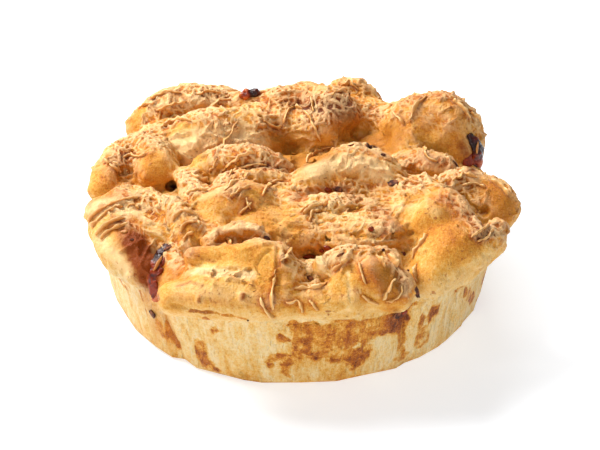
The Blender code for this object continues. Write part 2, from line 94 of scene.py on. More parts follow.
# %% The rolls, in millimetres
# name: points (x, y, z, radius) of the roll's middle line
ROLLS = {
    "front_left": ((-54, -99, 49, 8.5), (-42, -101, 51, 9.5), (-26, -103, 51, 10), (-12, -104, 50, 9)),
    "front_fold": (
        (-45, -81, 60, 5.5), (-32, -82, 61, 6), (-19, -84, 62, 7.5),
        (-10, -85, 60, 9), (-5, -94, 54, 9.5), (-5, -105, 49, 7),
    ),
    "front_lip": ((-41, -71, 62, 3), (-32, -66, 64, 4), (-20, -66, 64, 4), (-12, -69, 62, 3)),
    "front_stretch": ((-43, -81, 52, 7), (-29, -83, 52, 7), (-18, -85, 52, 7)),
    "front_right_low": ((4, -101, 49, 8), (14, -102, 49, 8.5), (25, -101, 50, 9)),
    "front_right": ((25, -96, 54, 10), (36, -94, 54, 14), (45, -96, 52, 11)),
    "front_right_crest": ((13, -89, 61, 5), (23, -87, 62, 6.5), (35, -85, 62, 7), (44, -87, 60, 6)),
    "front_hollow_floor": ((3, -85, 50, 8), (12, -84, 52, 8)),
    "right_front": ((62, -82, 48, 10), (72, -68, 51, 16), (82, -63, 53, 14), (93, -60, 54, 8)),
    "right_front_inner": ((58, -47, 58, 8), (66, -52, 59, 13), (72, -47, 62, 10)),
    "right_twist": ((63, -42, 64, 5), (72, -43, 65, 7), (79, -52, 63, 7), (82, -60, 59, 5)),
    "right_rim": ((82, -66, 56, 6), (91, -60, 56, 7), (97, -50, 56, 6)),
    "right_knot": ((99, -27, 54, 12.5), (94, -21, 56, 12.5), (85, -17, 59, 11), (75, -20, 60, 8)),
    "back_right_dome": ((68, 45, 60, 19), (78.5, 45, 58, 21.5), (83, 41, 52, 19.5)),
    "dome_shoulder": ((58, 59, 56, 12), (60, 35, 58, 12), (58, 23, 57, 9)),
    "dome_front": ((57, 9, 58, 8), (67, 7, 59, 9), (77, 4, 58, 8)),
    "back_knob": ((28, 84, 62, 10), (34.5, 84, 60.5, 11), (40, 79, 56, 10)),
    "back_bridge": ((31, 69, 54, 12), (45, 66, 53, 13), (56, 59, 54, 12)),
    "back_bridge_face": ((28, 68, 45, 12), (43, 66, 44, 13), (56, 60, 46, 12)),
    "back_centre": ((-7, 68, 62, 11.5), (6, 70, 62, 12.5), (19, 63, 62, 13.5), (25, 55, 60, 10)),
    "back_centre_face": ((-7, 53, 56, 12), (3, 52, 53, 14), (14, 51, 56, 13)),
    "back_join": ((-26, 57, 62, 6), (-16, 60, 62, 6), (-5, 56, 62, 6)),
    "back_gap": ((-30, 73, 59, 9), (-14, 73, 60, 9)),
    "back_left": ((-83, 68, 49, 10), (-69, 77, 54, 13.5), (-54, 79, 57, 12.5), (-38, 79, 59, 10)),
    "back_left_seam": ((-84, 54, 45, 8), (-74, 57, 49, 10), (-62, 60, 50, 9)),
    "second_left": ((-52, 40, 58, 13), (-37, 42, 60, 14), (-21, 44, 59, 12)),
    "back_left_join": ((-78, 36, 53, 10), (-65, 39, 54, 12), (-54, 30, 55, 11)),
    "left_outer": ((-99, 2, 48, 7), (-94, 18, 50, 11), (-88, 27, 53, 10), (-79, 31, 56, 8)),
    "left_ball": ((-72, 20, 57, 11), (-71, 8, 56, 11.5)),
    "left_peg": ((-60, 2, 56, 3.5), (-55, 5, 57, 3.5)),
    "left_front": ((-91, -32, 54, 9), (-86, -44, 50, 12.5), (-78, -56, 46, 13.5), (-71, -67, 44, 9)),
    "left_front_top": ((-93, -35, 57, 8.5), (-82, -32, 59, 10), (-70, -35, 59, 8)),
    "left_front_roll": ((-71, -29, 60, 6), (-60, -40, 60, 8), (-52, -52, 58, 8), (-49, -61, 55, 7)),
    "left_seam_wall": ((-60, -50, 50, 8), (-56, -63, 46, 9), (-53, -74, 44, 8)),
    "centre_left_ridge": ((-45, -1, 63, 7), (-35, -1, 66, 9), (-19, -5, 67, 9), (-7, -7, 64, 7)),
    "centre_left_fold": ((-35, -24, 64, 6), (-23, -21, 66, 6), (-7, -17, 64, 5)),
    "centre_left_knob": ((-40, -37, 60, 9), (-30, -38, 63, 10), (-19, -37, 63, 10)),
    "centre_left_inner": ((-53, -5, 59, 7), (-49, -24, 60, 8), (-43, -40, 58, 8), (-38, -49, 56, 7)),
    "centre_left_bed": ((-40, -2, 56, 9), (-27, -12, 56, 10)),
    "centre_back_bed": ((-42, 32, 54, 9), (-26, 34, 54, 10), (-13, 38, 52, 9)),
    "centre_ridge": (
        (1, -27, 59, 6), (8, -17, 63, 9), (21, -10, 66, 11),
        (36, -9, 66, 12), (48, -14, 63, 9), (54, -19, 60, 5),
    ),
    "centre_front": ((3, -45, 57, 8), (13, -41, 60, 8), (25, -39, 60, 7), (39, -41, 60, 7)),
    "centre_front_low": ((19, -58, 56, 9), (33, -62, 57, 10), (44, -61, 59, 8)),
    "centre_valley": ((-11, -13, 55, 11), (-4, -35, 54, 13), (5, -56, 53, 11)),
    "centre_valley_front": ((-19, -50, 54, 11), (-4, -55, 53, 11)),
    "lip_bed": ((-38, -58, 53, 8), (-22, -62, 54, 8), (-8, -64, 53, 7)),
    "left_front_bed": ((-78, -44, 51, 12), (-64, -50, 51, 10)),
    "seam_bed": ((48, -56, 51, 8), (52, -66, 48, 8)),
    "right_inner": ((42, -27, 57, 7), (52, -24, 60, 8), (65, -21, 61, 8)),
    "middle": ((12, 16, 47, 12), (32, 16, 47, 14), (47, 20, 46, 13)),
    "middle_back": ((28, 38, 43, 12), (44, 43, 45, 12)),
    "middle_left": ((-30, 12, 48, 11), (-14, 14, 47, 12), (2, 26, 45, 11)),
    "back_rim_left": ((-62, 62, 42, 12), (-46, 76, 42, 13), (-28, 86, 42, 14)),
    "back_rim": ((-18, 88, 43, 13), (0, 90, 43, 15), (24, 88, 43, 14)),
    "back_rim_right": ((38, 85, 43, 13), (55, 76, 43, 13), (70, 66, 43, 12)),
    "left_back_rim": ((-76, 53, 45, 12), (-84, 43, 45, 12)),
    "right_back_rim": ((92, 14, 42, 9), (92, 0, 43, 9)),
    "torn_band": ((-47, -91, 55, 4), (-37, -92, 57, 5.5), (-24, -93.5, 57.5, 5.5), (-12, -94.5, 57, 5)),
    "pocket_floor": ((-34, -75, 57, 6), (-26, -76, 58, 6.5), (-18, -76, 57.5, 6)),
    "ridge_face": ((4, -28, 56, 6), (18, -18, 58, 8.5), (34, -17, 58, 9), (46, -21, 57, 7)),
    "web_fill": ((10, -51, 54, 8), (28, -52, 55, 9), (42, -50, 55, 8)),
    "seam_fill": ((46, -36, 57, 7), (51, -43, 57, 8), (54, -53, 53, 7)),
    "right_shelf": ((46, -36, 57, 8), (57, -34, 60, 8.5), (67, -33, 62, 8)),
}

# %% The tin and the seams between the dough pieces
FOOT_RADIUS = 97 * MM
RIM_RADIUS = 103 * MM
RIM_HEIGHT = 42 * MM
CORE_HEIGHT = 50 * MM
FOOT_ROUNDING = 1.2 * MM
FOOT_TURNS = (0.3, 0.8, 1.2)
SHOULDER_DROP = 3 * MM
SHOULDER_INSET = 12 * MM
CORE_X = 1 * MM
CORE_Y = -1.8 * MM
TURNS_AROUND = 160
WALL_RINGS = 16
# bearing in degrees, depth and half width in millimetres, lean from foot to rim in degrees
WALL_SEAMS = (
    (-124, 2.6, 3.0, -8), (-104, 1.0, 1.6, 3), (-57.5, 2.0, 2.6, -3), (-29, 1.6, 2.6, 4),
    (4, 2.2, 3.0, -6), (38, 1.8, 2.6, 5), (74, 2.4, 3.0, -4), (108, 1.8, 2.6, 6),
    (141, 2.2, 3.0, -5), (176, 2.0, 2.8, 6), (-155, 2.0, 28, 0),
)


# %% Curves, tubes and the core
PATH_STEPS = 5
TUBE_SIDES = 20
CAP_RINGS = 4


def spline(points, steps=PATH_STEPS):
    """Catmull-Rom curve through rows of numbers, with so many steps between two of them."""
    rows = [np.array(p, float) for p in points]
    rows = [2 * rows[0] - rows[1], *rows, 2 * rows[-1] - rows[-2]]
    curve = []
    for a, b, c, d in zip(rows, rows[1:], rows[2:], rows[3:]):
        for step in range(steps):
            t = step / steps
            bend = (2 * a - 5 * b + 4 * c - d) * t * t + (3 * b - 3 * c + d - a) * t**3
            curve.append(0.5 * (2 * b + (c - a) * t + bend))
    return np.array([*curve, rows[-2]])


def add_roll(mesh, points):
    """A tube of dough with round ends, along the curve through the points."""
    path = spline(points) * MM
    centre, radius = path[:, :3], path[:, 3]
    along = np.gradient(centre, axis=0)
    along /= np.linalg.norm(along, axis=1)[:, None]
    turns = [math.pi / 2 * k / CAP_RINGS for k in range(1, CAP_RINGS)]

    def cap(k, way):
        reach = way * along[k] * radius[k]
        return [(centre[k] + reach * math.sin(t), radius[k] * math.cos(t), along[k]) for t in turns]

    rings = []
    angles = [2 * math.pi * k / TUBE_SIDES for k in range(TUBE_SIDES)]
    for middle, size, ahead in [*reversed(cap(0, -1)), *zip(centre, radius, along), *cap(-1, 1)]:
        side = np.cross(ahead, (0, 0, 1))
        side /= np.linalg.norm(side)
        lift = np.cross(side, ahead)
        places = [middle + size * (side * math.cos(a) + lift * math.sin(a)) for a in angles]
        rings.append([mesh.verts.new(place) for place in places])
    close_rings(mesh, rings, centre[0] - along[0] * radius[0], centre[-1] + along[-1] * radius[-1])


def close_rings(mesh, rings, first, last):
    """Faces between rings of vertices, closed by a point at each end."""
    tip, tail = mesh.verts.new(first), mesh.verts.new(last)
    count = len(rings[0])
    for i in range(count):
        j = (i + 1) % count
        mesh.faces.new((tip, rings[0][j], rings[0][i]))
        mesh.faces.new((tail, rings[-1][i], rings[-1][j]))
        for near, far in zip(rings, rings[1:]):
            mesh.faces.new((near[i], near[j], far[j], far[i]))


def wall_radius(bearing, height):
    """The tin's wall at a bearing in radians, drawn in where two pieces of dough meet."""
    share = height / RIM_HEIGHT
    radius = FOOT_RADIUS + (RIM_RADIUS - FOOT_RADIUS) * min(share, 1)
    for seam, depth, half_width, lean in WALL_SEAMS:
        gap = bearing - math.radians(seam + lean * share)
        gap = (gap + math.pi) % (2 * math.pi) - math.pi
        across = gap * radius / (half_width * MM)
        radius -= depth * MM * math.exp(-across * across)
    return radius


def add_core(mesh):
    """The lower half, with the form of the tin and a rounded foot."""
    angles = [2 * math.pi * k / TURNS_AROUND for k in range(TURNS_AROUND)]
    levels = [(0, FOOT_ROUNDING)]
    levels += [(FOOT_ROUNDING * (1 - math.cos(t)), FOOT_ROUNDING * (1 - math.sin(t))) for t in FOOT_TURNS]
    climb = RIM_HEIGHT - FOOT_ROUNDING
    levels += [(FOOT_ROUNDING + climb * k / WALL_RINGS, 0) for k in range(WALL_RINGS + 1)]
    levels += [(CORE_HEIGHT - SHOULDER_DROP, SHOULDER_DROP), (CORE_HEIGHT, SHOULDER_INSET)]
    rings = []
    for height, inset in levels:
        radii = [wall_radius(a, height) - inset for a in angles]
        places = [(CORE_X + r * math.cos(a), CORE_Y + r * math.sin(a), height) for r, a in zip(radii, angles)]
        rings.append([mesh.verts.new(place) for place in places])
    close_rings(mesh, rings, (CORE_X, CORE_Y, 0), (CORE_X, CORE_Y, CORE_HEIGHT))

# %% [markdown]
# ## Melting the rolls into one skin
# A voxel remesh wraps one closed skin around everything, as the dough's own skin does, and smoothing rounds
# the creases where two rolls meet. Then slow swells and small folds of noise take away the look of tubes.

# %% Melt
MELT_VOXEL = 1.2 * MM
MELT_PASSES = 14


def new_object(name, data):
    made = bpy.data.objects.new(name, data)
    bpy.context.scene.collection.objects.link(made)
    return made


def from_bmesh(name, mesh):
    """A new object from a bmesh whose faces are turned outwards."""
    bmesh.ops.recalc_face_normals(mesh, faces=mesh.faces)
    data = bpy.data.meshes.new(name)
    mesh.to_mesh(data)
    mesh.free()
    return new_object(name, data)


def apply_modifiers(obj):
    """Turns what the modifiers make into the object's own mesh."""
    graph = bpy.context.evaluated_depsgraph_get()
    done = bpy.data.meshes.new_from_object(obj.evaluated_get(graph))
    obj.modifiers.clear()
    obj.data = done


def melted_dough(name):
    """Core and rolls run together, with soft creases where they meet."""
    mesh = bmesh.new()
    add_core(mesh)
    for points in ROLLS.values():
        add_roll(mesh, points)
    loaf = from_bmesh(name, mesh)
    melt = loaf.modifiers.new("melt", "REMESH")
    melt.mode = "VOXEL"
    melt.voxel_size = MELT_VOXEL
    soften = loaf.modifiers.new("soften", "SMOOTH")
    soften.factor = 0.5
    soften.iterations = MELT_PASSES
    apply_modifiers(loaf)
    return loaf


def keep_largest_skin(obj):
    """Fills the pockets that the rolls closed in: only the largest connected skin stays."""
    mesh = bmesh.new()
    mesh.from_mesh(obj.data)
    left = set(mesh.verts)
    bodies = []
    while left:
        body = set()
        front = [left.pop()]
        while front:
            vert = front.pop()
            body.add(vert)
            near = {edge.other_vert(vert) for edge in vert.link_edges} & left
            left -= near
            front.extend(near)
        bodies.append(body)
    bodies.sort(key=len)
    for body in bodies[:-1]:
        bmesh.ops.delete(mesh, geom=list(body), context="VERTS")
    mesh.to_mesh(obj.data)
    mesh.free()


crust = melted_dough("crust")
keep_largest_skin(crust)
print("melted skin:", len(crust.data.vertices), "points")

# %% [markdown]
# ## Noise by numbers
# Blender's own noise is fine for a few slow swells. Fine relief asks for millions of values, so a small
# noise is written with numpy, which works on all points at once. It gives each cell of a grid a number that
# is always the same, and blends smoothly between them.

# %% A noise for many points
def cell_values(cells, seed):
    """A number between -1 and 1 for each cell of a grid, always the same for the same cell."""
    x, y, z = cells.astype(np.int64).astype(np.uint32).T
    mixed = x * np.uint32(374761393) + y * np.uint32(668265263) + z * np.uint32(2246822519)
    mixed = mixed + np.uint32(seed * 40503)
    mixed = (mixed ^ (mixed >> np.uint32(13))) * np.uint32(1274126177)
    mixed = mixed ^ (mixed >> np.uint32(16))
    return mixed / 2147483648.0 - 1


def ripple(points, size, seed, octaves=1):
    """Smooth noise, mostly between -1 and 1, whose waves are as long as size."""
    total = np.zeros(len(points))
    for octave in range(octaves):
        at = points / size * 2**octave + 17.3 * (octave + seed)
        low = np.floor(at)
        share = at - low
        share = share**3 * (share * (share * 6 - 15) + 10)
        for corner in ((i, j, k) for i in (0, 1) for j in (0, 1) for k in (0, 1)):
            near = np.where(corner, share, 1 - share).prod(axis=1)
            total += near * cell_values(low + corner, seed + octave) / 2**octave
    return total


def step_up(values, start, full):
    """0 below start, 1 above full, and smooth between."""
    share = np.clip((values - start) / (full - start), 0, 1)
    return share * share * (3 - 2 * share)


def places_of(mesh):
    found = np.empty(len(mesh.vertices) * 3, np.float32)
    mesh.vertices.foreach_get("co", found)
    return found.reshape(-1, 3).astype(float)


def normals_of(mesh):
    found = np.empty(len(mesh.vertices) * 3, np.float32)
    mesh.vertex_normals.foreach_get("vector", found)
    return found.reshape(-1, 3).astype(float)


def move_points(mesh, points):
    mesh.vertices.foreach_set("co", points.astype(np.float32).ravel())
    mesh.update()


def tree_of(mesh):
    """A tree that finds quickly where a ray meets the mesh."""
    mesh.calc_loop_triangles()
    corners = np.empty(len(mesh.loop_triangles) * 3, np.int32)
    mesh.loop_triangles.foreach_get("vertices", corners)
    return BVHTree.FromPolygons(places_of(mesh).tolist(), corners.reshape(-1, 3).tolist())


# %% Swells, folds and hollows
# How unevenly the dough rose
SWELL_HEIGHT = 1.6 * MM
SWELL_LENGTH = 21 * MM
FOLD_HEIGHT = 1.0 * MM
FOLD_LENGTH = 7.5 * MM
WALL_SWELL = 0.3
FOLDS_START = 38 * MM
FOLDS_FULL = 50 * MM
# Holes and hollows (x, y, z, radius, depth) in millimetres
DIMPLES = {
    "front_hole": (7, -69, 54, 3.8, 6),
    "small_hole": (16, -65, 59, 2.4, 3),
    "left_hole": (-62, 0, 50, 4, 5),
    "back_pit": (43, 46, 50, 3.5, 3),
    "inner_slot": (41, -47, 61, 2.8, 2.5),
    "seam_slot": (53, -50, 53, 3.2, 3),
    "right_hollow": (91, -37, 57, 4.5, 3),
    "lip_hollow": (-26, -75, 62, 5, 1.2),
    "lip_end": (-9, -66, 60, 3.5, 3.5),
    "front_hollow": (8, -90, 58, 6, 2),
    "left_groove": (-87, 9, 53, 6, 3.5),
    "seam_pit": (52, -61, 50, 3.5, 3),
}


def raise_unevenly(mesh):
    """Swells and folds of the risen dough, moved along the normals, and then its holes and hollows."""
    points, normals = places_of(mesh), normals_of(mesh)
    swell = np.array([noise.noise(Vector(p / SWELL_LENGTH)) for p in points])
    fold = np.array([noise.noise(Vector(p / FOLD_LENGTH)) for p in points])
    top = np.clip((points[:, 2] - FOLDS_START) / (FOLDS_FULL - FOLDS_START), 0, 1)
    shift = SWELL_HEIGHT * swell * (WALL_SWELL + (1 - WALL_SWELL) * top) + FOLD_HEIGHT * fold * top
    for x, y, z, radius, depth in DIMPLES.values():
        away = np.linalg.norm(points - np.array((x, y, z)) * MM, axis=1) / (radius * MM)
        shift -= depth * MM * np.clip(1 - away * away, 0, 1)
    move_points(mesh, points + normals * shift[:, None])


raise_unevenly(crust.data)
bare_skin = tree_of(crust.data)
print("holes and hollows:", len(DIMPLES))

# %% [markdown]
# ## Marks on the dough
# Creases, browned patches, stains and strands of cheese are named, and their courses are given by the
# pixels where they show. Each point is sent along its ray onto the bare skin. What a mark does fades out
# with the true distance from its course, so it wraps around the dough as a real one does.

# %% Find a pixel's place on the crust
def pixels_on_crust(pixels):
    """Where the rays through the pixels meet the bare skin. A pixel that misses it is left out."""
    met = [bare_skin.ray_cast(EYE, ray_through(px, py))[0] for px, py in pixels]
    if None in met:
        print("no crust at", [pixel for pixel, place in zip(pixels, met) if place is None])
    return [np.array(place) for place in met if place is not None]


def course_on_crust(pixels, spacing=1.5 * MM):
    """Places along a line of pixels, close enough together to be measured from."""
    corners = pixels_on_crust(pixels)
    course = [corners[0]]
    for start, end in zip(corners, corners[1:]):
        parts = max(1, round(np.linalg.norm(end - start) / spacing))
        course += [start + (end - start) * (k + 1) / parts for k in range(parts)]
    return np.array(course)


def nearness(points, course, reach):
    """1 on the course, and fading to nothing at twice the reach."""
    near = np.full(len(points), np.inf)
    low, high = course.min(axis=0) - 2.2 * reach, course.max(axis=0) + 2.2 * reach
    close = np.flatnonzero(((points > low) & (points < high)).all(axis=1))
    for place in course:
        near[close] = np.minimum(near[close], ((points[close] - place) ** 2).sum(axis=1))
    return np.exp(-near / reach**2)


# %% [markdown]
# ## Strands that stand out
# Most of the grated cheese melted into a mat, but some strands can be told one by one. Each is drawn as a
# line of pixels, rounded, and laid on the crust. The same nodes that make the mat then turn it into cheese.

# %% The strands' courses in pixels
HERO_STRANDS = (
    ((360, 263), (362, 273), (366, 285)), ((293, 288), (306, 289), (319, 288), (328, 283)),
    ((334, 272), (341, 266), (347, 259)), ((276, 268), (274, 283), (271, 297), (272, 311)),
    ((290, 246), (287, 254), (280, 263)), ((260, 297), (262, 304), (268, 313), (275, 318)),
    ((285, 301), (291, 303), (297, 300), (301, 306), (303, 313)), ((309, 300), (314, 305), (318, 310)),
    ((361, 295), (370, 300), (379, 304)), ((394, 278), (389, 288), (382, 300)),
    ((385, 302), (395, 299), (401, 292), (402, 285)), ((376, 256), (381, 262), (385, 268)),
    ((388, 254), (392, 261), (397, 268)), ((413, 261), (417, 250), (424, 241), (427, 234)),
    ((417, 263), (416, 274), (416, 284)), ((226, 236), (229, 241), (231, 245)),
    ((88, 221), (97, 213), (109, 205), (124, 199), (140, 197)),
    ((92, 228), (99, 220), (110, 211), (124, 206)),
    ((96, 236), (103, 228), (114, 221), (126, 218)), ((101, 240), (108, 232), (118, 227), (129, 225)),
    ((128, 209), (133, 205), (139, 210)), ((173, 222), (178, 214), (188, 212), (196, 218)),
    ((181, 233), (184, 225), (192, 222), (200, 228)), ((184, 243), (187, 236), (192, 233)),
    ((113, 164), (119, 173), (124, 181)), ((105, 160), (112, 167), (117, 172)),
    ((122, 158), (131, 156), (141, 157), (149, 154)), ((126, 169), (130, 175)),
    ((190, 175), (199, 180), (208, 184)), ((188, 196), (196, 190), (206, 192)),
    ((222, 150), (226, 139), (233, 127), (239, 119)), ((283, 125), (286, 114), (293, 108), (303, 111)),
    ((303, 111), (310, 119), (316, 131), (321, 142)), ((312, 95), (313, 104), (313, 113)),
    ((218, 158), (214, 166), (209, 172)), ((222, 172), (231, 163), (243, 156), (256, 154)),
    ((228, 178), (240, 169), (254, 164), (268, 166)), ((224, 192), (233, 184), (246, 180)),
    ((229, 198), (239, 191), (250, 187)), ((246, 198), (248, 204), (251, 210)),
    ((262, 196), (270, 186), (283, 181)), ((240, 215), (246, 208), (252, 202)),
    ((316, 152), (324, 148), (334, 147)), ((306, 162), (314, 154), (324, 152)),
    ((303, 216), (313, 208), (328, 204)), ((300, 214), (309, 207), (320, 205)),
    ((309, 222), (313, 215), (321, 211)), ((428, 97), (416, 106), (410, 122)),
    ((452, 100), (461, 107), (468, 118)), ((470, 112), (478, 122), (482, 134)),
    ((420, 150), (428, 158), (438, 162)), ((392, 112), (400, 118), (404, 126)),
    ((150, 100), (165, 94), (182, 93)), ((156, 112), (172, 104), (190, 102)),
    ((128, 120), (140, 108), (154, 104)), ((196, 96), (208, 92), (222, 94)),
    ((206, 108), (218, 100), (232, 100)), ((160, 128), (176, 122), (192, 122)),
    ((490, 180), (500, 186), (508, 196)), ((452, 181), (464, 175), (478, 178)),
    ((462, 186), (474, 183), (486, 188)), ((470, 238), (480, 232), (490, 226)),
    ((476, 242), (486, 238), (494, 230)), ((330, 96), (338, 92), (348, 94)),
    ((340, 86), (350, 84), (358, 90)), ((262, 120), (270, 126), (282, 128)),
)


COURSE_STEPS = 6


def smooth_course(corners):
    """A rounded line through a few places."""
    return spline(corners, COURSE_STEPS) if len(corners) > 2 else np.array(corners)


def drawn_curves(name, courses):
    """One curve object with a spline for each course."""
    data = bpy.data.curves.new(name, "CURVE")
    data.dimensions = "3D"
    for course in courses:
        spline_made = data.splines.new("POLY")
        spline_made.points.add(len(course) - 1)
        for point, place in zip(spline_made.points, course):
            point.co = (*place, 1)
    return new_object(name, data)


print("strands drawn one by one:", len(HERO_STRANDS))

# %% [markdown]
# ## Where the cheese lies
# Grated cheese stays on what faces up, and slid off the fat rolls, whose skin is smooth. The cover is a
# number at each point of the crust, between none and thick, that later nodes and materials read by name.

# %% Fat rolls with smooth skin: pixels of a course, and reach in millimetres
SMOOTH_SKIN = {
    "right_front": (((428, 226), (452, 246), (470, 262)), 16),
    "right_front_low": (((410, 270), (425, 262), (450, 280), (480, 262)), 12),
    "left_front_low": (((98, 238), (112, 258), (128, 275)), 11),
    "left_ball": (((152, 162), (158, 176), (162, 186)), 9),
    "left_outer": (((93, 178), (100, 186), (104, 196)), 8),
    "dome_face": (((425, 112), (440, 128), (448, 146)), 12),
    "front_left": (((170, 285), (205, 295), (250, 300)), 11),
    "front_fold": (((205, 258), (235, 256), (262, 256), (270, 285)), 9),
    "front_low": (((290, 315), (330, 312), (365, 310)), 9),
    "front_right_face": (((340, 285), (352, 275), (372, 280)), 7),
    "olive_valley": (((280, 150), (300, 156), (320, 160)), 9),
    "back_valley": (((350, 128), (370, 138), (392, 140)), 10),
    "left_knob": (((208, 205), (218, 212), (232, 216)), 7),
    "left_roll_face": (((186, 226), (195, 236), (200, 244)), 4),
    "yellow_valley": (((258, 196), (268, 215), (285, 236)), 10),
    "web_valley": (((180, 130), (188, 145), (196, 158)), 7),
    "knot_side": (((505, 205), (512, 215)), 7),
    "knot_top": (((488, 186), (500, 198)), 5),
    "back_left_face": (((134, 122), (142, 110)), 4),
}


# How steep and how low cheese still lies, as (none, full)
FACES_UP = (0.02, 0.5)
HIGH_ENOUGH = (45, 56)
PATCH_SIZE = 14 * MM


def cheese_cover(points, normals):
    """Where the grated cheese lies: 0 where there is none, 1 where it is thick."""
    lies = step_up(normals[:, 2], *FACES_UP) * step_up(points[:, 2] / MM, *HIGH_ENOUGH)
    patchy = 0.8 + 0.4 * ripple(points, PATCH_SIZE, 3)
    bare = np.zeros(len(points))
    for pixels, reach in SMOOTH_SKIN.values():
        bare = np.maximum(bare, nearness(points, course_on_crust(pixels), reach * MM))
    return np.clip(lies * patchy * (1 - 1.25 * bare), 0, 1)


def keep_number(mesh, name, values):
    made = mesh.attributes.new(name, "FLOAT", "POINT")
    made.data.foreach_set("value", np.clip(values, 0, 1).astype(np.float32))


cover = cheese_cover(places_of(crust.data), normals_of(crust.data))
keep_number(crust.data, "cheese", cover)
print("cheese on", round(100 * (cover > 0.5).mean()), "% of the crust's points")

# %% [markdown]
# ## Strands of cheese by Geometry Nodes
# A great many strands lie on the crust, each bent a little, sunk in and flattened. Points are spread over
# it where the cover allows, a short curve stands on each, its points are pulled down onto the crust, and
# a flat oval runs along it. Neighbours point roughly the same way, because a handful falls together.

# %% Nodes in short
def add_node(tree, kind, values=None, **settings):
    """A node of a tree, with its settings and the values or links of its inputs."""
    node = tree.nodes.new(kind)
    for name, value in settings.items():
        setattr(node, name, value)
    for name, value in (values or {}).items():
        socket = node.inputs[name]
        if isinstance(value, bpy.types.NodeSocket):
            tree.links.new(value, socket)
        else:
            socket.default_value = value
    return node


def maths(tree, operation, a, b=0.0):
    return add_node(tree, "ShaderNodeMath", {0: a, 1: b}, operation=operation).outputs[0]


def times(tree, a, b):
    return maths(tree, "MULTIPLY", a, b)


def plus(tree, a, b):
    return maths(tree, "ADD", a, b)


def vectors(tree, operation, a, b):
    return add_node(tree, "ShaderNodeVectorMath", {0: a, 1: b}, operation=operation).outputs[0]


def scaled(tree, vector, factor):
    return add_node(tree, "ShaderNodeVectorMath", {0: vector, "Scale": factor}, operation="SCALE").outputs[0]


def triple(tree, x, y, z):
    return add_node(tree, "ShaderNodeCombineXYZ", {"X": x, "Y": y, "Z": z}).outputs[0]


# %% The tree that lays strands on the crust
STRAND_INPUTS = (
    ("Crust", "NodeSocketGeometry", None),
    ("Drawn strands", "NodeSocketObject", None),
    ("Finish", "NodeSocketMaterial", None),
    ("Strands per square metre", "NodeSocketFloat", 0.0),
    ("Length", "NodeSocketFloat", 0.011),
    ("Width", "NodeSocketFloat", 0.0027),
    ("Flatness", "NodeSocketFloat", 0.55),
    ("Lift", "NodeSocketFloat", 0.0002),
    ("Bend", "NodeSocketFloat", 0.0035),
    ("Seed", "NodeSocketInt", 4),
)
STRAND_POINTS = 9
DRAWN_POINTS = 18
STRAND_SIDES = 7
# How the grated strands fall: waves per metre, and turns in radians
DRIFT_SCALE, DRIFT_TURN = 38.0, 9.0
STRAY_TURN = 0.75
SHORTEST, LONGEST = 0.3, 1.5
SWAY_SCALE, SWAY_SHARE = 75.0, 4.0
# How blunt the ends of a strand are, and how lumpy it is
END_POWER, THINNEST_END = 9.0, 0.2
LUMP_SCALE, LUMP_SHARE, LUMP_BASE = 330.0, 2.6, -0.3


def random_number(tree, low, high, seed):
    made = add_node(tree, "FunctionNodeRandomValue", {2: low, 3: high, "Seed": seed}, data_type="FLOAT")
    return made.outputs[1]


def place_noise(tree, scale, detail):
    values = {"Scale": scale, "Detail": detail}
    return add_node(tree, "ShaderNodeTexNoise", values, noise_dimensions="3D").outputs


def grated_curves(tree, given):
    """Short curves standing on the crust where the cheese lies."""
    cheese = add_node(tree, "GeometryNodeInputNamedAttribute", {"Name": "cheese"}, data_type="FLOAT")
    spread = add_node(tree, "GeometryNodeDistributePointsOnFaces", {
        "Mesh": given["Crust"], "Seed": given["Seed"],
        "Density": times(tree, cheese.outputs["Attribute"], given["Strands per square metre"])})
    drift = times(tree, place_noise(tree, DRIFT_SCALE, 0.0)[0], DRIFT_TURN)
    spin = plus(tree, drift, random_number(tree, -STRAY_TURN, STRAY_TURN, 11))
    turned = add_node(tree, "FunctionNodeRotateRotation", {
        "Rotation": spread.outputs["Rotation"],
        "Rotate By": triple(tree, 0.0, 0.0, spin)}, rotation_space="LOCAL")
    half = times(tree, given["Length"], 0.5)
    line = add_node(tree, "GeometryNodeCurvePrimitiveLine", {
        "Start": triple(tree, times(tree, half, -1.0), 0.0, 0.0), "End": triple(tree, half, 0.0, 0.0)})
    cut = add_node(tree, "GeometryNodeResampleCurve", {"Curve": line.outputs[0], "Count": STRAND_POINTS})
    laid = add_node(tree, "GeometryNodeInstanceOnPoints", {
        "Points": spread.outputs["Points"], "Instance": cut.outputs[0], "Rotation": turned.outputs[0],
        "Scale": triple(tree, random_number(tree, SHORTEST, LONGEST, 12), 1.0, 1.0)})
    single = add_node(tree, "GeometryNodeRealizeInstances", {"Geometry": laid.outputs[0]})
    wave = place_noise(tree, SWAY_SCALE, 1.0)["Color"]
    centred = vectors(tree, "SUBTRACT", wave, (0.5, 0.5, 0.5))
    sway = scaled(tree, centred, times(tree, given["Bend"], SWAY_SHARE))
    swayed = add_node(tree, "GeometryNodeSetPosition", {"Geometry": single.outputs[0], "Offset": sway})
    return swayed.outputs[0]


def strand_radius(tree, given):
    """Half the strand's width: lumpy all along, and less at its blunt ends."""
    along = add_node(tree, "GeometryNodeSplineParameter").outputs["Factor"]
    from_middle = maths(tree, "ABSOLUTE", maths(tree, "SUBTRACT", times(tree, along, 2.0), 1.0))
    blunt = maths(tree, "SUBTRACT", 1.0, maths(tree, "POWER", from_middle, END_POWER))
    slim = maths(tree, "POWER", maths(tree, "MAXIMUM", blunt, THINNEST_END), 0.5)
    fat = plus(tree, times(tree, place_noise(tree, LUMP_SCALE, 1.0)[0], LUMP_SHARE), LUMP_BASE)
    return times(tree, times(tree, slim, fat), times(tree, given["Width"], 0.5))


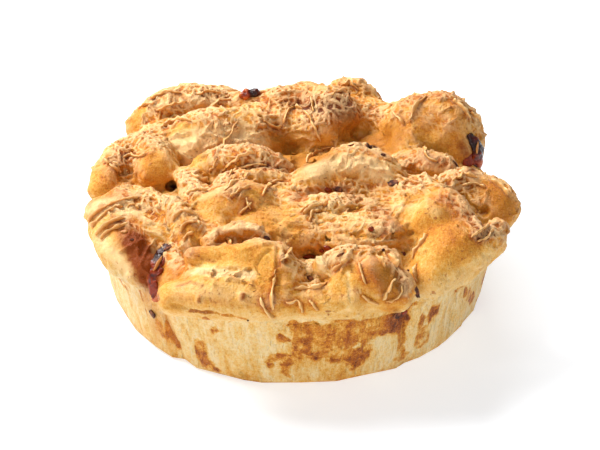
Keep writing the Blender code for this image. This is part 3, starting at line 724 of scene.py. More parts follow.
def strand_tree():
    """The whole tree: grated and drawn curves, pulled onto the crust and given an oval section."""
    tree = bpy.data.node_groups.new("melt strands", "GeometryNodeTree")
    for name, kind, value in STRAND_INPUTS:
        socket = tree.interface.new_socket(name, in_out="INPUT", socket_type=kind)
        if value is not None:
            socket.default_value = value
    tree.interface.new_socket("Strands", in_out="OUTPUT", socket_type="NodeSocketGeometry")
    given = add_node(tree, "NodeGroupInput").outputs
    drawn = add_node(tree, "GeometryNodeObjectInfo", {
        "Object": given["Drawn strands"]}, transform_space="ORIGINAL")
    recut = add_node(tree, "GeometryNodeResampleCurve", {
        "Curve": drawn.outputs["Geometry"], "Count": DRAWN_POINTS})
    both = add_node(tree, "GeometryNodeJoinGeometry")
    tree.links.new(recut.outputs[0], both.inputs[0])
    tree.links.new(grated_curves(tree, given), both.inputs[0])
    nearest = add_node(tree, "GeometryNodeProximity", {0: given["Crust"]}, target_element="FACES")
    facing = add_node(tree, "GeometryNodeInputNormal").outputs[0]
    upwards = add_node(tree, "GeometryNodeSampleNearestSurface", {
        "Mesh": given["Crust"], "Value": facing}, data_type="FLOAT_VECTOR").outputs[0]
    onto = vectors(tree, "ADD", nearest.outputs["Position"], scaled(tree, upwards, given["Lift"]))
    even = add_node(tree, "GeometryNodeBlurAttribute", {
        "Value": onto, "Iterations": 1}, data_type="FLOAT_VECTOR")
    melted = add_node(tree, "GeometryNodeSetPosition", {
        "Geometry": both.outputs[0], "Position": even.outputs[0]})
    sized = add_node(tree, "GeometryNodeSetCurveRadius", {
        "Curve": melted.outputs[0], "Radius": strand_radius(tree, given)})
    upright = add_node(tree, "GeometryNodeSetCurveNormal", {
        "Curve": sized.outputs[0], "Normal": upwards}, mode="FREE")
    ring = add_node(tree, "GeometryNodeCurvePrimitiveCircle", {
        "Resolution": STRAND_SIDES, "Radius": 1.0}, mode="RADIUS")
    oval = add_node(tree, "GeometryNodeTransform", {
        "Geometry": ring.outputs[0], "Scale": triple(tree, 1.0, given["Flatness"], 1.0)})
    bars = add_node(tree, "GeometryNodeCurveToMesh", {
        "Curve": upright.outputs[0], "Profile Curve": oval.outputs[0], "Fill Caps": True,
        "Scale": add_node(tree, "GeometryNodeInputRadius").outputs[0]})
    own = add_node(tree, "GeometryNodeInputNormal").outputs[0]
    crown = add_node(tree, "ShaderNodeVectorMath", {0: own, 1: upwards}, operation="DOT_PRODUCT")
    noted = add_node(tree, "GeometryNodeStoreNamedAttribute", {
        "Geometry": bars.outputs[0], "Name": "crown", "Value": crown.outputs["Value"]},
        data_type="FLOAT", domain="POINT")
    smooth = add_node(tree, "GeometryNodeSetShadeSmooth", {"Geometry": noted.outputs[0]})
    whole = add_node(tree, "GeometryNodeRealizeInstances", {"Geometry": smooth.outputs[0]})
    done = add_node(tree, "GeometryNodeSetMaterial", {
        "Geometry": whole.outputs[0], "Material": given["Finish"]})
    result = add_node(tree, "NodeGroupOutput")
    tree.links.new(done.outputs[0], result.inputs[0])
    return tree


def node_made(name, base, tree, inputs):
    """A plain mesh object made by a tree of Geometry Nodes from a base mesh."""
    carrier = new_object(name, base)
    maker = carrier.modifiers.new("nodes", "NODES")
    maker.node_group = tree
    for socket in tree.interface.items_tree:
        if socket.in_out == "INPUT" and socket.name in inputs:
            maker[socket.identifier] = inputs[socket.name]
    graph = bpy.context.evaluated_depsgraph_get()
    made = bpy.data.meshes.new_from_object(carrier.evaluated_get(graph))
    carrier.modifiers.clear()
    carrier.data = made
    return carrier


melt_strands = strand_tree()
print("nodes that lay strands:", len(melt_strands.nodes))

# %% [markdown]
# ## A mat of cheese that melted in
# Most strands have no edge any more: they flowed into the crust. So the grated ones are wrapped, together
# with the crust, in a finer skin of voxels, and smoothing rounds the corner where a strand meets the dough.

# %% Fuse the grated strands with the crust
GRATED_PER_SQUARE_METRE = 62000.0
GRATED_WIDTH, GRATED_FLATNESS, GRATED_LIFT = 0.0024, 0.36, 0.0001
MAT_VOXEL = 0.56 * MM
MAT_PASSES = 2


def fuse(under, over):
    """One fine skin over both, which stays with the first object."""
    joined = bmesh.new()
    joined.from_mesh(under.data)
    joined.from_mesh(over.data)
    joined.to_mesh(under.data)
    joined.free()
    bpy.data.objects.remove(over)
    wrap = under.modifiers.new("wrap", "REMESH")
    wrap.mode = "VOXEL"
    wrap.voxel_size = MAT_VOXEL
    soften = under.modifiers.new("soften", "SMOOTH")
    soften.factor = 0.5
    soften.iterations = MAT_PASSES
    apply_modifiers(under)


grated = node_made("grated", crust.data.copy(), melt_strands, {
    "Strands per square metre": GRATED_PER_SQUARE_METRE,
    "Width": GRATED_WIDTH, "Flatness": GRATED_FLATNESS, "Lift": GRATED_LIFT})
print("grated strands:", len(grated.data.polygons), "faces")
fuse(crust, grated)
keep_largest_skin(crust)
print("skin with its mat of cheese:", len(crust.data.vertices), "points")

# %% [markdown]
# ## Creases, pockets and holes
# Some marks of this loaf are forms, not colours: the open pocket above the front roll, pleats where a roll
# bent, holes torn in the valleys, lumps under the skin. They are carved or raised along their courses. Each
# fades out with distance, so it needs no outline of its own.

# %% Courses in pixels, half width and height in millimetres (below 0 is carved)
CREASES = {
    "pocket": (((222, 240), (236, 241), (250, 239), (264, 238)), 3.0, -0.8),
    "pocket_rim": (((213, 243), (228, 246), (242, 250), (258, 246), (272, 243)), 1.0, 0.8),
    "pocket_back_rim": (((216, 238), (228, 231), (242, 228), (258, 230), (270, 236)), 1.0, 0.7),
    "torn_band": (((194, 268), (212, 272), (232, 275), (252, 277)), 2.4, -0.5),
    "band_upper_edge": (((190, 264), (210, 267), (232, 269), (250, 270)), 0.8, -1.3),
    "band_lower_edge": (((196, 279), (215, 281), (235, 282), (252, 284)), 0.7, -0.6),
    "roll_foot": (
        ((172, 306), (195, 313), (230, 317), (262, 323), (300, 326), (340, 325), (380, 318)), 0.9, -1.3),
    "fold_line": (((271, 250), (262, 256), (257, 265), (259, 274)), 0.8, -1.0),
    "fold_back": (((282, 262), (280, 275), (279, 292), (280, 310)), 1.0, -0.8),
    "pleat_pale": (((347, 270), (349, 285), (351, 300), (347, 317)), 0.9, -0.9),
    "pleat_left": (((338, 280), (342, 292), (343, 308)), 0.9, -0.6),
    "pleat_low": (((325, 292), (329, 302), (328, 314)), 1.0, -0.6),
    "front_hollow": (((300, 270), (310, 272), (320, 272)), 4.0, 1.9),
    "hollow_rim_left": (((294, 276), (296, 266), (303, 261)), 1.0, 0.8),
    "hollow_swirl": (((324, 264), (330, 272), (324, 279), (312, 281)), 0.9, 1.0),
    "hollow_knot": (((302, 268), (308, 272)), 1.4, 1.0),
    "front_hole": (((303, 256), (312, 255)), 1.8, -3.2),
    "front_hole_top": (((304, 247), (313, 247)), 1.3, 0.8),
    "round_hole": (((327, 240), (330, 240)), 1.7, -3.5),
    "slot_a": (((373, 218), (387, 217)), 1.4, -2.2),
    "slot_b": (((396, 236), (411, 235)), 1.4, -3.0),
    "seam_hole": (((403, 253), (405, 254)), 1.3, -2.5),
    "left_hole": (((171, 188), (176, 187)), 2.0, -4.0),
    "left_hole_low": (((160, 195), (165, 196)), 1.2, -2.0),
    "groove_hole": (((131, 183), (135, 184)), 1.5, -2.5),
    "back_hole": (((371, 147), (375, 146)), 1.3, -2.5),
    "back_valley": (((350, 133), (366, 138), (386, 138)), 5, -3.0),
    "olive_valley": (((288, 151), (300, 155), (314, 158)), 5, -2.0),
    "twist_a": (((446, 197), (458, 204), (470, 216)), 0.9, -0.9),
    "twist_b": (((438, 203), (450, 213), (460, 227)), 0.9, -0.9),
    "twist_c": (((455, 194), (468, 203), (480, 214)), 0.9, -0.9),
    "right_hollow": (((480, 212), (486, 224)), 2.0, -1.0),
    "rim_lump": (((474, 236), (484, 231), (492, 227)), 1.5, 0.7),
    "right_wall_crease": (((457, 290), (453, 310), (450, 335)), 1.2, -1.4),
    "seam_right": (((403, 318), (404, 336), (403, 356)), 1.1, -1.2),
    "wall_notch": (((242, 372), (243, 381)), 1.4, -2.0),
    "wall_line_a": (((248, 335), (250, 350), (249, 366)), 0.8, -0.6),
    "wall_line_b": (((262, 326), (261, 340), (263, 352)), 0.8, -0.5),
    "wall_line_c": (((281, 340), (280, 352), (282, 364)), 0.8, -0.5),
    "wall_line_d": (((225, 322), (230, 336), (231, 350)), 0.8, -0.4),
    "wall_seam_a": (((158, 300), (164, 318), (172, 336), (183, 354)), 1.2, -1.0),
    "lump_a": (((200, 299), (200, 301)), 1.7, 1.8),
    "lump_b": (((243, 296), (243, 298)), 1.9, 1.9),
    "lump_c": (((214, 282), (214, 285)), 1.2, 1.3),
    "lump_d": (((251, 282), (251, 285)), 1.2, 1.3),
    "lump_e": (((145, 176), (145, 178)), 1.8, 1.2),
    "lump_f": (((150, 153), (150, 155)), 1.8, 1.2),
    "lump_g": (((132, 206), (132, 209)), 1.9, 1.2),
    "lump_h": (((424, 252), (420, 252)), 1.3, 1.0),
    "pale_mass": (((136, 216), (146, 223), (156, 232), (164, 235)), 2.4, 1.4),
}


def carve(mesh):
    points, normals = places_of(mesh), normals_of(mesh)
    shift = np.zeros(len(points))
    for pixels, half_width, height in CREASES.values():
        shift += height * MM * nearness(points, course_on_crust(pixels, 0.7 * MM), half_width * MM)
    move_points(mesh, points + normals * shift[:, None])


carve(crust.data)

# %% [markdown]
# ## Fine relief of the crust
# Four kinds of surface show on this loaf: a lumpy mat where much cheese melted, torn webs of pale dough in
# the valleys, nearly smooth skin on the fat rolls, and fine upright wrinkles where the tin held the wall.
# Each is a noise of its own, held by a mask. A map of the heap's mean height tells a crest from a valley.

# %% Crest or valley
HEAP_CELL = 1 * MM
HEAP_CELLS = 260
HEAP_SPREAD = 9


def rise_above_heap(points):
    """How many millimetres each place rises above the heap's mean height around it."""
    cells = np.floor(points[:, :2] / HEAP_CELL).astype(int) + HEAP_CELLS // 2
    top = np.zeros((HEAP_CELLS, HEAP_CELLS))
    np.maximum.at(top, (cells[:, 0], cells[:, 1]), points[:, 2] / MM)
    bell = np.exp(-((np.arange(-2 * HEAP_SPREAD, 2 * HEAP_SPREAD + 1) / HEAP_SPREAD) ** 2))

    def spread(grid):
        for axis in (0, 1):
            grid = np.apply_along_axis(np.convolve, axis, grid, bell, "same")
        return grid

    mean = spread(top) / np.maximum(spread(top > 0), 1)
    return points[:, 2] / MM - mean[cells[:, 0], cells[:, 1]]


# %% The four kinds of relief
# height or depth, and the size of its waves
MAT_HEIGHT, MAT_SIZE = 0.12 * MM, 3.4 * MM
WEB_HEIGHT, WEB_SIZE = 0.55 * MM, 4.6 * MM
TEAR_DEPTH, TEAR_SIZE = 1.1 * MM, 5.2 * MM
GRAIN_HEIGHT, GRAIN_SIZE = 0.17 * MM, 2.2 * MM
PIT_DEPTH, PIT_SIZE = 0.5 * MM, 5 * MM
WRINKLE_HEIGHT = 0.42 * MM
WRINKLED_PATCH = 40 * MM
WEB_STRETCH = (0.5, 1.3, 1)
# Wrinkles of the wall are longer up than around
WRINKLE_AROUND, WRINKLE_UP = 1.9, 9
# How much of a valley's depth the webs of dough fill
FILL_EVERYWHERE = 0.12
FILL_TORN = 0.4
FILL_MOST = 0.5
LEVEL_SHARE = 0.6
# Valleys whose pale dough tore into webs: pixels of a course, reach in millimetres, how much
TORN = {
    "left": (((182, 132), (190, 146), (196, 158)), 7, 1),
    "left_second": (((176, 148), (180, 156)), 5, 1),
    "yellow": (((262, 196), (270, 214), (288, 238)), 8, 0.8),
    "band": (((196, 269), (215, 272), (250, 277)), 3.5, 0.9),
    "inner": (((312, 212), (335, 222), (360, 232), (392, 244)), 10, 1),
    "seam": (((360, 212), (385, 206), (405, 196)), 6, 1),
    "back": (((336, 130), (352, 124)), 5, 0.6),
    "left_side": (((172, 250), (182, 262)), 5, 0.5),
    "dome_foot": (((396, 160), (412, 172), (432, 178)), 6, 0.8),
    "second_foot": (((255, 136), (275, 138)), 6, 0.8),
}
# Slopes where webs of dough hide the rolls below them
LEVELLED = {
    "inner": (((306, 218), (330, 220), (352, 224), (372, 228)), 7, 0.9),
    "inner_low": (((310, 228), (330, 236), (352, 242), (378, 248)), 6, 0.7),
    "seam": (((388, 208), (400, 202)), 5, 0.6),
    "left_second": (((176, 150), (190, 160)), 6, 0.6),
    "yellow": (((268, 214), (282, 232)), 7, 0.6),
}
DEEPEST_FILL, MOST_LEVELLED = 8, 9


def marks(points, table):
    """The sum of a table's marks at each place."""
    total = np.zeros(len(points))
    for pixels, reach, amount in table.values():
        total += amount * nearness(points, course_on_crust(pixels), reach * MM)
    return total


def add_relief(mesh):
    """Webs and tears, grain and wrinkles, then the fill of the valleys and the levelled slopes."""
    points, normals = places_of(mesh), normals_of(mesh)
    height = points[:, 2] / MM
    rise = rise_above_heap(points)
    cheese = cheese_cover(points, normals)
    top = step_up(height, 40, 50)
    torn = np.clip(marks(points, TORN) + 0.5 * step_up(-rise, 2, 6), 0, 1) * top
    filled = np.clip(FILL_EVERYWHERE + FILL_TORN * marks(points, TORN), 0, FILL_MOST) * top
    mat = 1 - 2.4 * np.abs(ripple(points, MAT_SIZE, 5, 2))
    web = 1 - 2.6 * np.abs(ripple(points * WEB_STRETCH, WEB_SIZE, 6, 3))
    tears = step_up(ripple(points * WEB_STRETCH, TEAR_SIZE, 16, 2), 0.30, 0.52)
    grain = ripple(points, GRAIN_SIZE, 7, 2)
    shift = MAT_HEIGHT * mat * cheese + (WEB_HEIGHT * web - TEAR_DEPTH * tears) * torn
    shift += GRAIN_HEIGHT * grain * (0.2 + 0.8 * np.maximum(cheese, torn)) * (0.3 + 0.7 * top)
    bearing = np.arctan2(points[:, 1] - CORE_Y, points[:, 0] - CORE_X)
    around = bearing * RIM_RADIUS / WRINKLE_AROUND
    unrolled = np.stack([around, points[:, 2] / WRINKLE_UP, bearing], axis=1)
    wall = (1 - top) * step_up(height, 1.5, 6)
    patch = 0.35 + 0.65 * step_up(ripple(points, WRINKLED_PATCH, 8), -0.1, 0.25)
    shift += WRINKLE_HEIGHT * ripple(unrolled, MM, 9, 2) * wall * patch
    pits = step_up(ripple(points, PIT_SIZE, 10), 0.42, 0.6)
    shift -= PIT_DEPTH * pits * wall
    moved = points + normals * shift[:, None]
    moved[:, 2] += filled * np.clip(-rise, 0, DEEPEST_FILL) * MM
    level = np.clip(marks(points, LEVELLED), 0, 1) * top
    moved[:, 2] -= LEVEL_SHARE * level * np.clip(rise, -MOST_LEVELLED, MOST_LEVELLED) * MM
    move_points(mesh, moved)


add_relief(crust.data)

# %% Keep the skin's form with fewer triangles
CRUST_TRIANGLES = 196000
FLAT_BELOW = 0.8 * MM
PLAIN_BELOW = 38 * MM
TOP_SHARE = 0.35


def thin_out(obj, triangles):
    """Fewer triangles, taken first from the wall and the underside."""
    plain = obj.vertex_groups.new(name="plain")
    low = places_of(obj.data)[:, 2] < PLAIN_BELOW
    plain.add(np.flatnonzero(low).tolist(), 1.0, "REPLACE")
    plain.add(np.flatnonzero(~low).tolist(), TOP_SHARE, "REPLACE")
    fewer = obj.modifiers.new("fewer", "DECIMATE")
    fewer.ratio = triangles / (2 * len(obj.data.polygons))
    fewer.vertex_group = plain.name
    apply_modifiers(obj)
    obj.vertex_groups.clear()


thin_out(crust, CRUST_TRIANGLES)
points = places_of(crust.data)
points[:, 2] = np.where(points[:, 2] < FLAT_BELOW, 0, points[:, 2])
move_points(crust.data, points)
crust.data.shade_smooth()
print("crust:", len(crust.data.polygons), "faces")

# %% [markdown]
# ## How the crust was baked
# Colour follows heat: crests browned, sheltered valleys and the wall inside the tin stayed pale. That is a
# number at each point, the bake. Named patches raise or lower it where this loaf differs, and some of them
# are painted shade in valleys and painted sheen on crests. How far a point stands out of its surroundings is
# kept too, since cheese is pale on its crests and brown at its edges; its crevices carry painted shade as
# well. How sheltered each point is gives painted shade too: a saturated orange in the hollows.

# %% Patches that baked darker or stayed paler, and patches of painted shade and painted sheen
# pixels of a course, reach in millimetres, how much darker (above 0) or paler (below 0)
BAKE_SHADE_AND_SHEEN_PATCHES = {
    "lip_hollow": (((226, 238), (245, 240), (266, 239)), 4.5, 0.34),
    # Painted light: the front hollow is made paler than its shade
    "front_hollow": (((300, 270), (312, 272), (324, 274)), 4.5, -0.14),
    "ridge_underside": (((297, 197), (320, 193), (343, 192), (352, 200)), 4, 0.4),
    "ridge_right": (((410, 162), (430, 163), (450, 167)), 5, 0.22),
    "twist": (((442, 200), (465, 214), (488, 230)), 5, 0.26),
    "shelf_top": (((478, 237), (489, 231), (500, 226)), 3.5, 0.3),
    "left_groove": (((118, 150), (124, 165), (134, 182)), 4.5, 0.3),
    "left_orange": (((93, 204), (106, 199), (120, 193)), 3.5, 0.32),
    "ball_side": (((134, 158), (138, 172), (146, 180)), 3.5, 0.14),
    "back_right_crest": (((345, 103), (350, 113), (352, 125)), 5, 0.3),
    "second_brown": (((250, 165), (270, 168), (290, 172)), 4, 0.28),
    "second_side": (((262, 128), (272, 134)), 5, 0.1),
    "left_front_brown": (((122, 222), (134, 238), (142, 255)), 6, 0.42),
    "front_right_brown": (((380, 268), (386, 280), (392, 292)), 5, 0.55),
    "front_right_side": (((396, 268), (402, 284), (404, 298)), 4, 0.25),
    "seam_right_brown": (((388, 310), (398, 315), (408, 316)), 4, 0.38),
    "seam_right_low": (((396, 326), (392, 338)), 4, 0.25),
    "valley_left": (((182, 135), (190, 150), (198, 160)), 7, -0.12),
    "right_face_pale": (((432, 284), (460, 278), (488, 255)), 6, -0.22),
    "band_pale": (((196, 269), (215, 272), (250, 276)), 3.2, -0.42),
    "pleat_pale": (((348, 272), (350, 290), (349, 312)), 1.4, -0.3),
    "front_roll_foot": (((190, 308), (230, 314), (270, 320), (330, 321)), 3.5, -0.12),
    # Painted shade: the olive and back valleys, which lie in deep shade, are darkened
    "olive_valley": (((285, 148), (300, 154), (316, 158)), 8, 0.06),
    "back_valley": (((352, 130), (370, 138), (390, 140)), 8, 0.24),
    "olive": (((284, 150), (300, 156), (318, 158)), 8, 0.1),
    "back_centre_face": (((298, 100), (318, 108), (338, 112)), 7, 0.38),
    "dome_face": (((415, 115), (435, 125), (450, 145)), 10, 0.12),
    "dome_top": (((408, 100), (430, 96), (455, 100)), 6, 0.2),
    "ball_face": (((150, 160), (158, 174), (162, 184)), 7, 0.06),
    "right_front_face": (((435, 228), (452, 244), (466, 256)), 11, 0.12),
    "knot_face": (((492, 190), (505, 204), (508, 216)), 7, 0.18),
    "front_right_top": (((345, 262), (360, 262), (372, 272)), 6, 0.12),
    "ridge_crest": (((312, 174), (340, 165), (368, 166), (384, 176)), 5, -0.15),
    "inner_fold": (((302, 212), (322, 212), (345, 218)), 6, -0.14),
    "front_left_top": (((96, 206), (112, 206), (128, 212)), 5, -0.14),
    # Painted highlight: the paler low left front, front left crest, second crest and right front crest stand
    # for sheen and light
    "left_front_low": (((100, 236), (114, 252), (128, 268)), 6, -0.2),
    "front_left_crest": (((180, 284), (210, 288), (245, 290)), 5, -0.12),
    "second_crest": (((200, 136), (228, 134), (255, 142)), 6, -0.12),
    "right_front_crest": (((392, 208), (415, 206), (436, 212)), 4, -0.12),
    "seam_web": (((380, 214), (390, 224), (400, 232)), 6, 0.26),
    "left_knob_brown": (((235, 200), (246, 208), (256, 212)), 5, 0.12),
}
# Crisp brown patches that the tin left on the wall, and other sharp-edged browning
WALL_PATCHES = {
    "large": (((318, 335), (330, 345), (342, 356)), 6.5, 1),
    "band": (((335, 322), (360, 328), (386, 322)), 4.5, 1),
    "band_low": (((352, 334), (366, 338)), 4, 0.9),
    "left_a": (((202, 347), (206, 357)), 3.4, 1),
    "left_b": (((191, 338), (196, 340)), 2.6, 1),
    "left_c": (((206, 320), (212, 328)), 2.2, 1),
    "mid_a": (((293, 323), (300, 330)), 2.6, 1),
    "mid_b": (((281, 340), (288, 341)), 2.4, 1),
    "mid_c": (((308, 324), (314, 330), (318, 337)), 2, 1),
    "right_a": (((370, 349), (377, 354)), 2.8, 1),
    "right_b": (((422, 317), (424, 322)), 2, 1),
    "right_c": (((431, 316), (429, 324)), 2, 1),
    "under_rim_a": (((436, 312), (446, 302), (458, 290)), 3.4, 0.9),
    "under_rim_b": (((466, 290), (473, 300)), 2.6, 1),
    "far_right": (((483, 280), (488, 290)), 3, 0.8),
    "seam_left": (((157, 300), (163, 318), (172, 336), (183, 353)), 1.7, 0.9),
    "seam_left_wide": (((146, 306), (150, 318)), 3, 0.7),
    "seam_right": (((403, 318), (404, 338), (402, 356)), 1.8, 0.8),
    "foot": (((196, 364), (212, 370), (230, 376)), 2, 0.8),
    "foot_right": (((355, 370), (380, 362), (400, 354)), 2, 0.7),
    "roll_edge": (((190, 311), (228, 316), (245, 319), (262, 323)), 1.3, 0.8),
}
STAINS = {
    "left_front": (((136, 242), (144, 258), (151, 278)), 5.2, 1.0),
    "left_front_wide": (((128, 234), (138, 254), (148, 278)), 7.5, 0.45),
    "left_streak": (((158, 296), (166, 318), (176, 338)), 2.2, 0.6),
    "right_side": (((462, 145), (468, 160), (472, 172)), 4, 0.6),
    "back": (((242, 97), (256, 100)), 4, 0.5),
    "front_hole": (((306, 258), (313, 256)), 2, 0.7),
    "front_bits": (((322, 249), (330, 250)), 1.8, 0.6),
    "lump_b": (((243, 296), (243, 298)), 1.7, 0.7),
    "lump_a": (((200, 299), (200, 301)), 1.5, 0.6),
    "roll_spots": (((178, 286), (190, 282), (202, 286)), 1.6, 0.5),
    "fold_spots": (((192, 254), (202, 258), (214, 262)), 1.6, 0.5),
    "ridge_under": (((298, 197), (318, 192), (344, 190)), 3.2, 0.42),
    "hollow": (((300, 272), (308, 275), (316, 277)), 2.0, 0.35),
    "seam_right": (((396, 312), (402, 318)), 2.6, 0.55),
}
ORANGE = {
    "left_front": (((132, 238), (142, 256), (152, 280)), 8, 0.9),
    "left_streak": (((158, 296), (166, 318), (176, 338)), 3, 0.7),
    "left_inner": (((170, 252), (178, 266), (184, 282)), 5, 0.8),
    "left_low": (((146, 300), (152, 312), (160, 330)), 4, 0.7),
    "left_edge": (((95, 206), (106, 200), (120, 194)), 3, 0.7),
    "groove": (((134, 165), (140, 176)), 3.5, 0.6),
    "front_hole": (((300, 248), (316, 250)), 3, 0.5),
    "ridge_right": (((408, 160), (414, 166)), 4, 0.6),
    "dome_side": (((454, 160), (462, 172)), 4, 0.6),
    "left_hole": (((172, 176), (178, 182)), 3, 0.5),
    "ridge_under": (((298, 197), (320, 192), (346, 192)), 4, 0.9),
    "lip": (((224, 239), (245, 240), (266, 239)), 3.5, 0.6),
}
# Painted shade: valleys that lie in deep shade, and the feet of some rolls, are drawn towards the dark valley
# colour
VALLEY_SHADE_MARKS = {
    "olive": (((284, 149), (300, 155), (318, 159)), 9, 1.5),
    "back_valley": (((350, 132), (368, 138), (390, 139)), 8, 1.4),
    "inner": (((265, 205), (272, 222), (288, 238)), 5, 0.12),
    "left_second": (((182, 134), (190, 148), (196, 158)), 6, 0.12),
    "front_right": (((382, 266), (388, 278), (392, 290)), 5, 1.1),
    "olive_low": (((294, 155), (312, 157)), 6, 1.2),
    "back_valley_low": (((374, 145), (388, 146)), 6, 1.1),
    "back_valley_right": (((382, 128), (392, 136)), 5, 0.9),
    "right_knot": (((486, 190), (498, 196), (508, 208)), 6, 0.6),
    "ball_foot": (((150, 190), (160, 190), (170, 182)), 4, 0.35),
    "knob_foot": (((205, 228), (228, 226)), 4, 0.3),
    "ridge_foot": (((350, 198), (370, 198), (388, 192)), 4, 0.5),
}
# Pale cream: pale dough in the torn band, the pleat, the webs and the inner valley, painted sheen on crests
# and smooth faces turned to the window, and painted light on the shaded second roll and in the front hollow
CREAM_AND_SHEEN = {
    "band": (((196, 270), (215, 273), (250, 276)), 3.2, 1.0),
    "pleat": (((348, 272), (350, 290), (349, 312)), 1.2, 0.7),
    "second": (((198, 138), (225, 134), (258, 142)), 7, 0.75),
    "second_left": (((176, 140), (186, 148), (194, 158)), 6, 0.8),
    "back_left": (((160, 104), (185, 100), (210, 104)), 6, 0.5),
    "left_front_top": (((98, 206), (114, 206), (128, 212)), 6, 0.85),
    "ridge": (((312, 170), (340, 163), (368, 164), (384, 174)), 6, 0.8),
    "left_front_low": (((100, 238), (114, 252), (128, 268)), 6, 0.45),
    "front_left": (((178, 284), (210, 290), (248, 293)), 5, 0.4),
    "web": (((345, 212), (370, 222), (392, 232)), 5, 0.4),
    "right_front": (((392, 208), (415, 206), (436, 212)), 4, 0.5),
    "front_right": (((325, 262), (336, 258), (346, 256)), 3, 0.6),
    "knob": (((205, 196), (222, 190), (240, 190)), 5, 0.5),
    "inner": (((264, 200), (276, 216), (286, 232)), 5, 0.4),
    "right_knot": (((465, 176), (480, 174), (495, 182)), 4, 0.3),
    "left_roll": (((178, 214), (190, 216), (200, 226)), 4, 0.4),
    "lip": (((226, 228), (245, 226), (262, 229)), 2.5, 0.5),
    "fold": (((270, 243), (280, 243), (288, 247)), 3, 0.4),
    "hollow": (((306, 271), (322, 273)), 3.5, 0.5),
    "left_low": (((100, 242), (114, 258), (128, 274)), 5, 0.25),
}
# Bare crust with as many brown nubs as the cheese has
CRUSTY = {
    "ridge": (((310, 176), (340, 168), (368, 168), (384, 178)), 7, 0.7),
    "dome": (((410, 110), (430, 112), (448, 120)), 9, 0.5),
    "back_centre": (((296, 102), (318, 108), (336, 116)), 7, 0.6),
    "knob": (((206, 214), (226, 214), (246, 212)), 6, 0.35),
    "front_roll": (((180, 292), (214, 296), (250, 298)), 5, 0.3),
}
# Burnt spots; the floors of the back pit and of the front, left and seam holes are painted near-black as
# painted shade in the holes
BURNT_AND_HOLE_SHADE = {
    "back_pit": (((368, 146), (376, 146)), 1.8, 0.75),
    "front_hole_floor": (((305, 258), (312, 257)), 1.8, 0.6),
    "left_hole_floor": (((172, 188), (175, 188)), 1.6, 0.85),
    "right_dark": (((468, 137), (472, 142)), 1.8, 0.8),
    "ridge_spot": (((333, 189), (340, 192)), 1.6, 0.5),
    "left_top": (((164, 224), (170, 230)), 1.3, 0.5),
    "seam_hole": (((403, 253), (405, 255)), 1.2, 0.6),
}


def spread_over(mesh, values, passes):
    """The values of all points, each drawn towards those of its neighbours."""
    ends = np.empty(len(mesh.edges) * 2, np.int32)
    mesh.edges.foreach_get("vertices", ends)
    a, b = ends.reshape(-1, 2).T
    count = np.bincount(ends, minlength=len(values))
    for _ in range(passes):
        columns = [
            (np.bincount(a, column[b], len(values)) + np.bincount(b, column[a], len(values))) / count
            for column in values.T]
        values = np.stack(columns, axis=1)
    return values


def stands_out(mesh, passes):
    """How far each point stands out of its surroundings, in millimetres."""
    points, normals = places_of(mesh), normals_of(mesh)
    return ((points - spread_over(mesh, points, passes)) * normals).sum(axis=1) / MM


# How sheltered each point is: the dough's finish uses it to paint shade, a saturated orange in the hollows
SHELTER_REACH = 18 * MM
SHELTER_RAYS = 10
SHELTER_START = 0.4
SHELTER_SPIRAL = 2.4
SHELTER_PASSES = 3
# The aims lie on a ball a little smaller than the normal is long, so that none points inwards
SHELTER_NORMAL = 1.02


def sheltered(mesh):
    """The share of what is above each point that other dough hides."""
    points, normals = places_of(mesh), normals_of(mesh)
    tree = BVHTree.FromPolygons(points.tolist(), [tuple(face.vertices) for face in mesh.polygons])
    hidden = np.zeros(len(points))
    starts = (points + normals * SHELTER_START * MM).tolist()
    for k in range(SHELTER_RAYS):
        up = 1 - 2 * (k + 0.5) / SHELTER_RAYS
        turn = k * SHELTER_SPIRAL
        side = math.sqrt(1 - up * up)
        on_ball = (side * math.cos(turn), side * math.sin(turn), up)
        aims = (normals * SHELTER_NORMAL + on_ball).tolist()
        met = [tree.ray_cast(start, aim, SHELTER_REACH)[0] for start, aim in zip(starts, aims)]
        hidden += [place is not None for place in met]
    return spread_over(mesh, hidden[:, None] / SHELTER_RAYS, SHELTER_PASSES)[:, 0]


# What the wall, the top, its crests, its valleys, its undersides and the foot add to the bake
WALL_BAKE, TOP_BAKE, CREST_BAKE = 0.12, 0.27, 0.14
VALLEY_LOSS, UNDER_LOSS, FOOT_BAKE = 0.12, 0.14, 0.20
LEAST_BAKE = 0.15
# (none, full) of the top's height, a crest's rise, a valley's depth and an underside's slope
TOP_HEIGHT = (38, 48)
CREST_RISE = (0, 7)
VALLEY_DEPTH = (2, 8)
UNDER_SLOPE = (0.05, 0.6)
FOOT_HEIGHT = (-5, -0.5)
RELIEF_PASSES = 8
RELIEF_SHARE = 0.9
SPOT_BAKE, SPOT_SIZE, SPOT_EDGE = 0.62, 9 * MM, (0.25, 0.6)


def bake_of(points, normals, on_skin, rise, top):
    """How baked each point is, before the finish adds its noises."""
    bake = WALL_BAKE + TOP_BAKE * top + CREST_BAKE * step_up(rise, *CREST_RISE) * top
    bake -= VALLEY_LOSS * step_up(-rise, *VALLEY_DEPTH) * top
    bake -= UNDER_LOSS * step_up(-normals[:, 2], *UNDER_SLOPE) * top
    bake += 0.09 * ripple(points, 17 * MM, 12) + 0.06 * ripple(points, 6 * MM, 13)
    bake += FOOT_BAKE * step_up(-points[:, 2] / MM, *FOOT_HEIGHT)
    # Named patches: baked darker or paler, and some of them painted shade in valleys and painted sheen on
    # crests
    bake += marks(on_skin, BAKE_SHADE_AND_SHEEN_PATCHES)
    return np.maximum(bake, LEAST_BAKE * top)


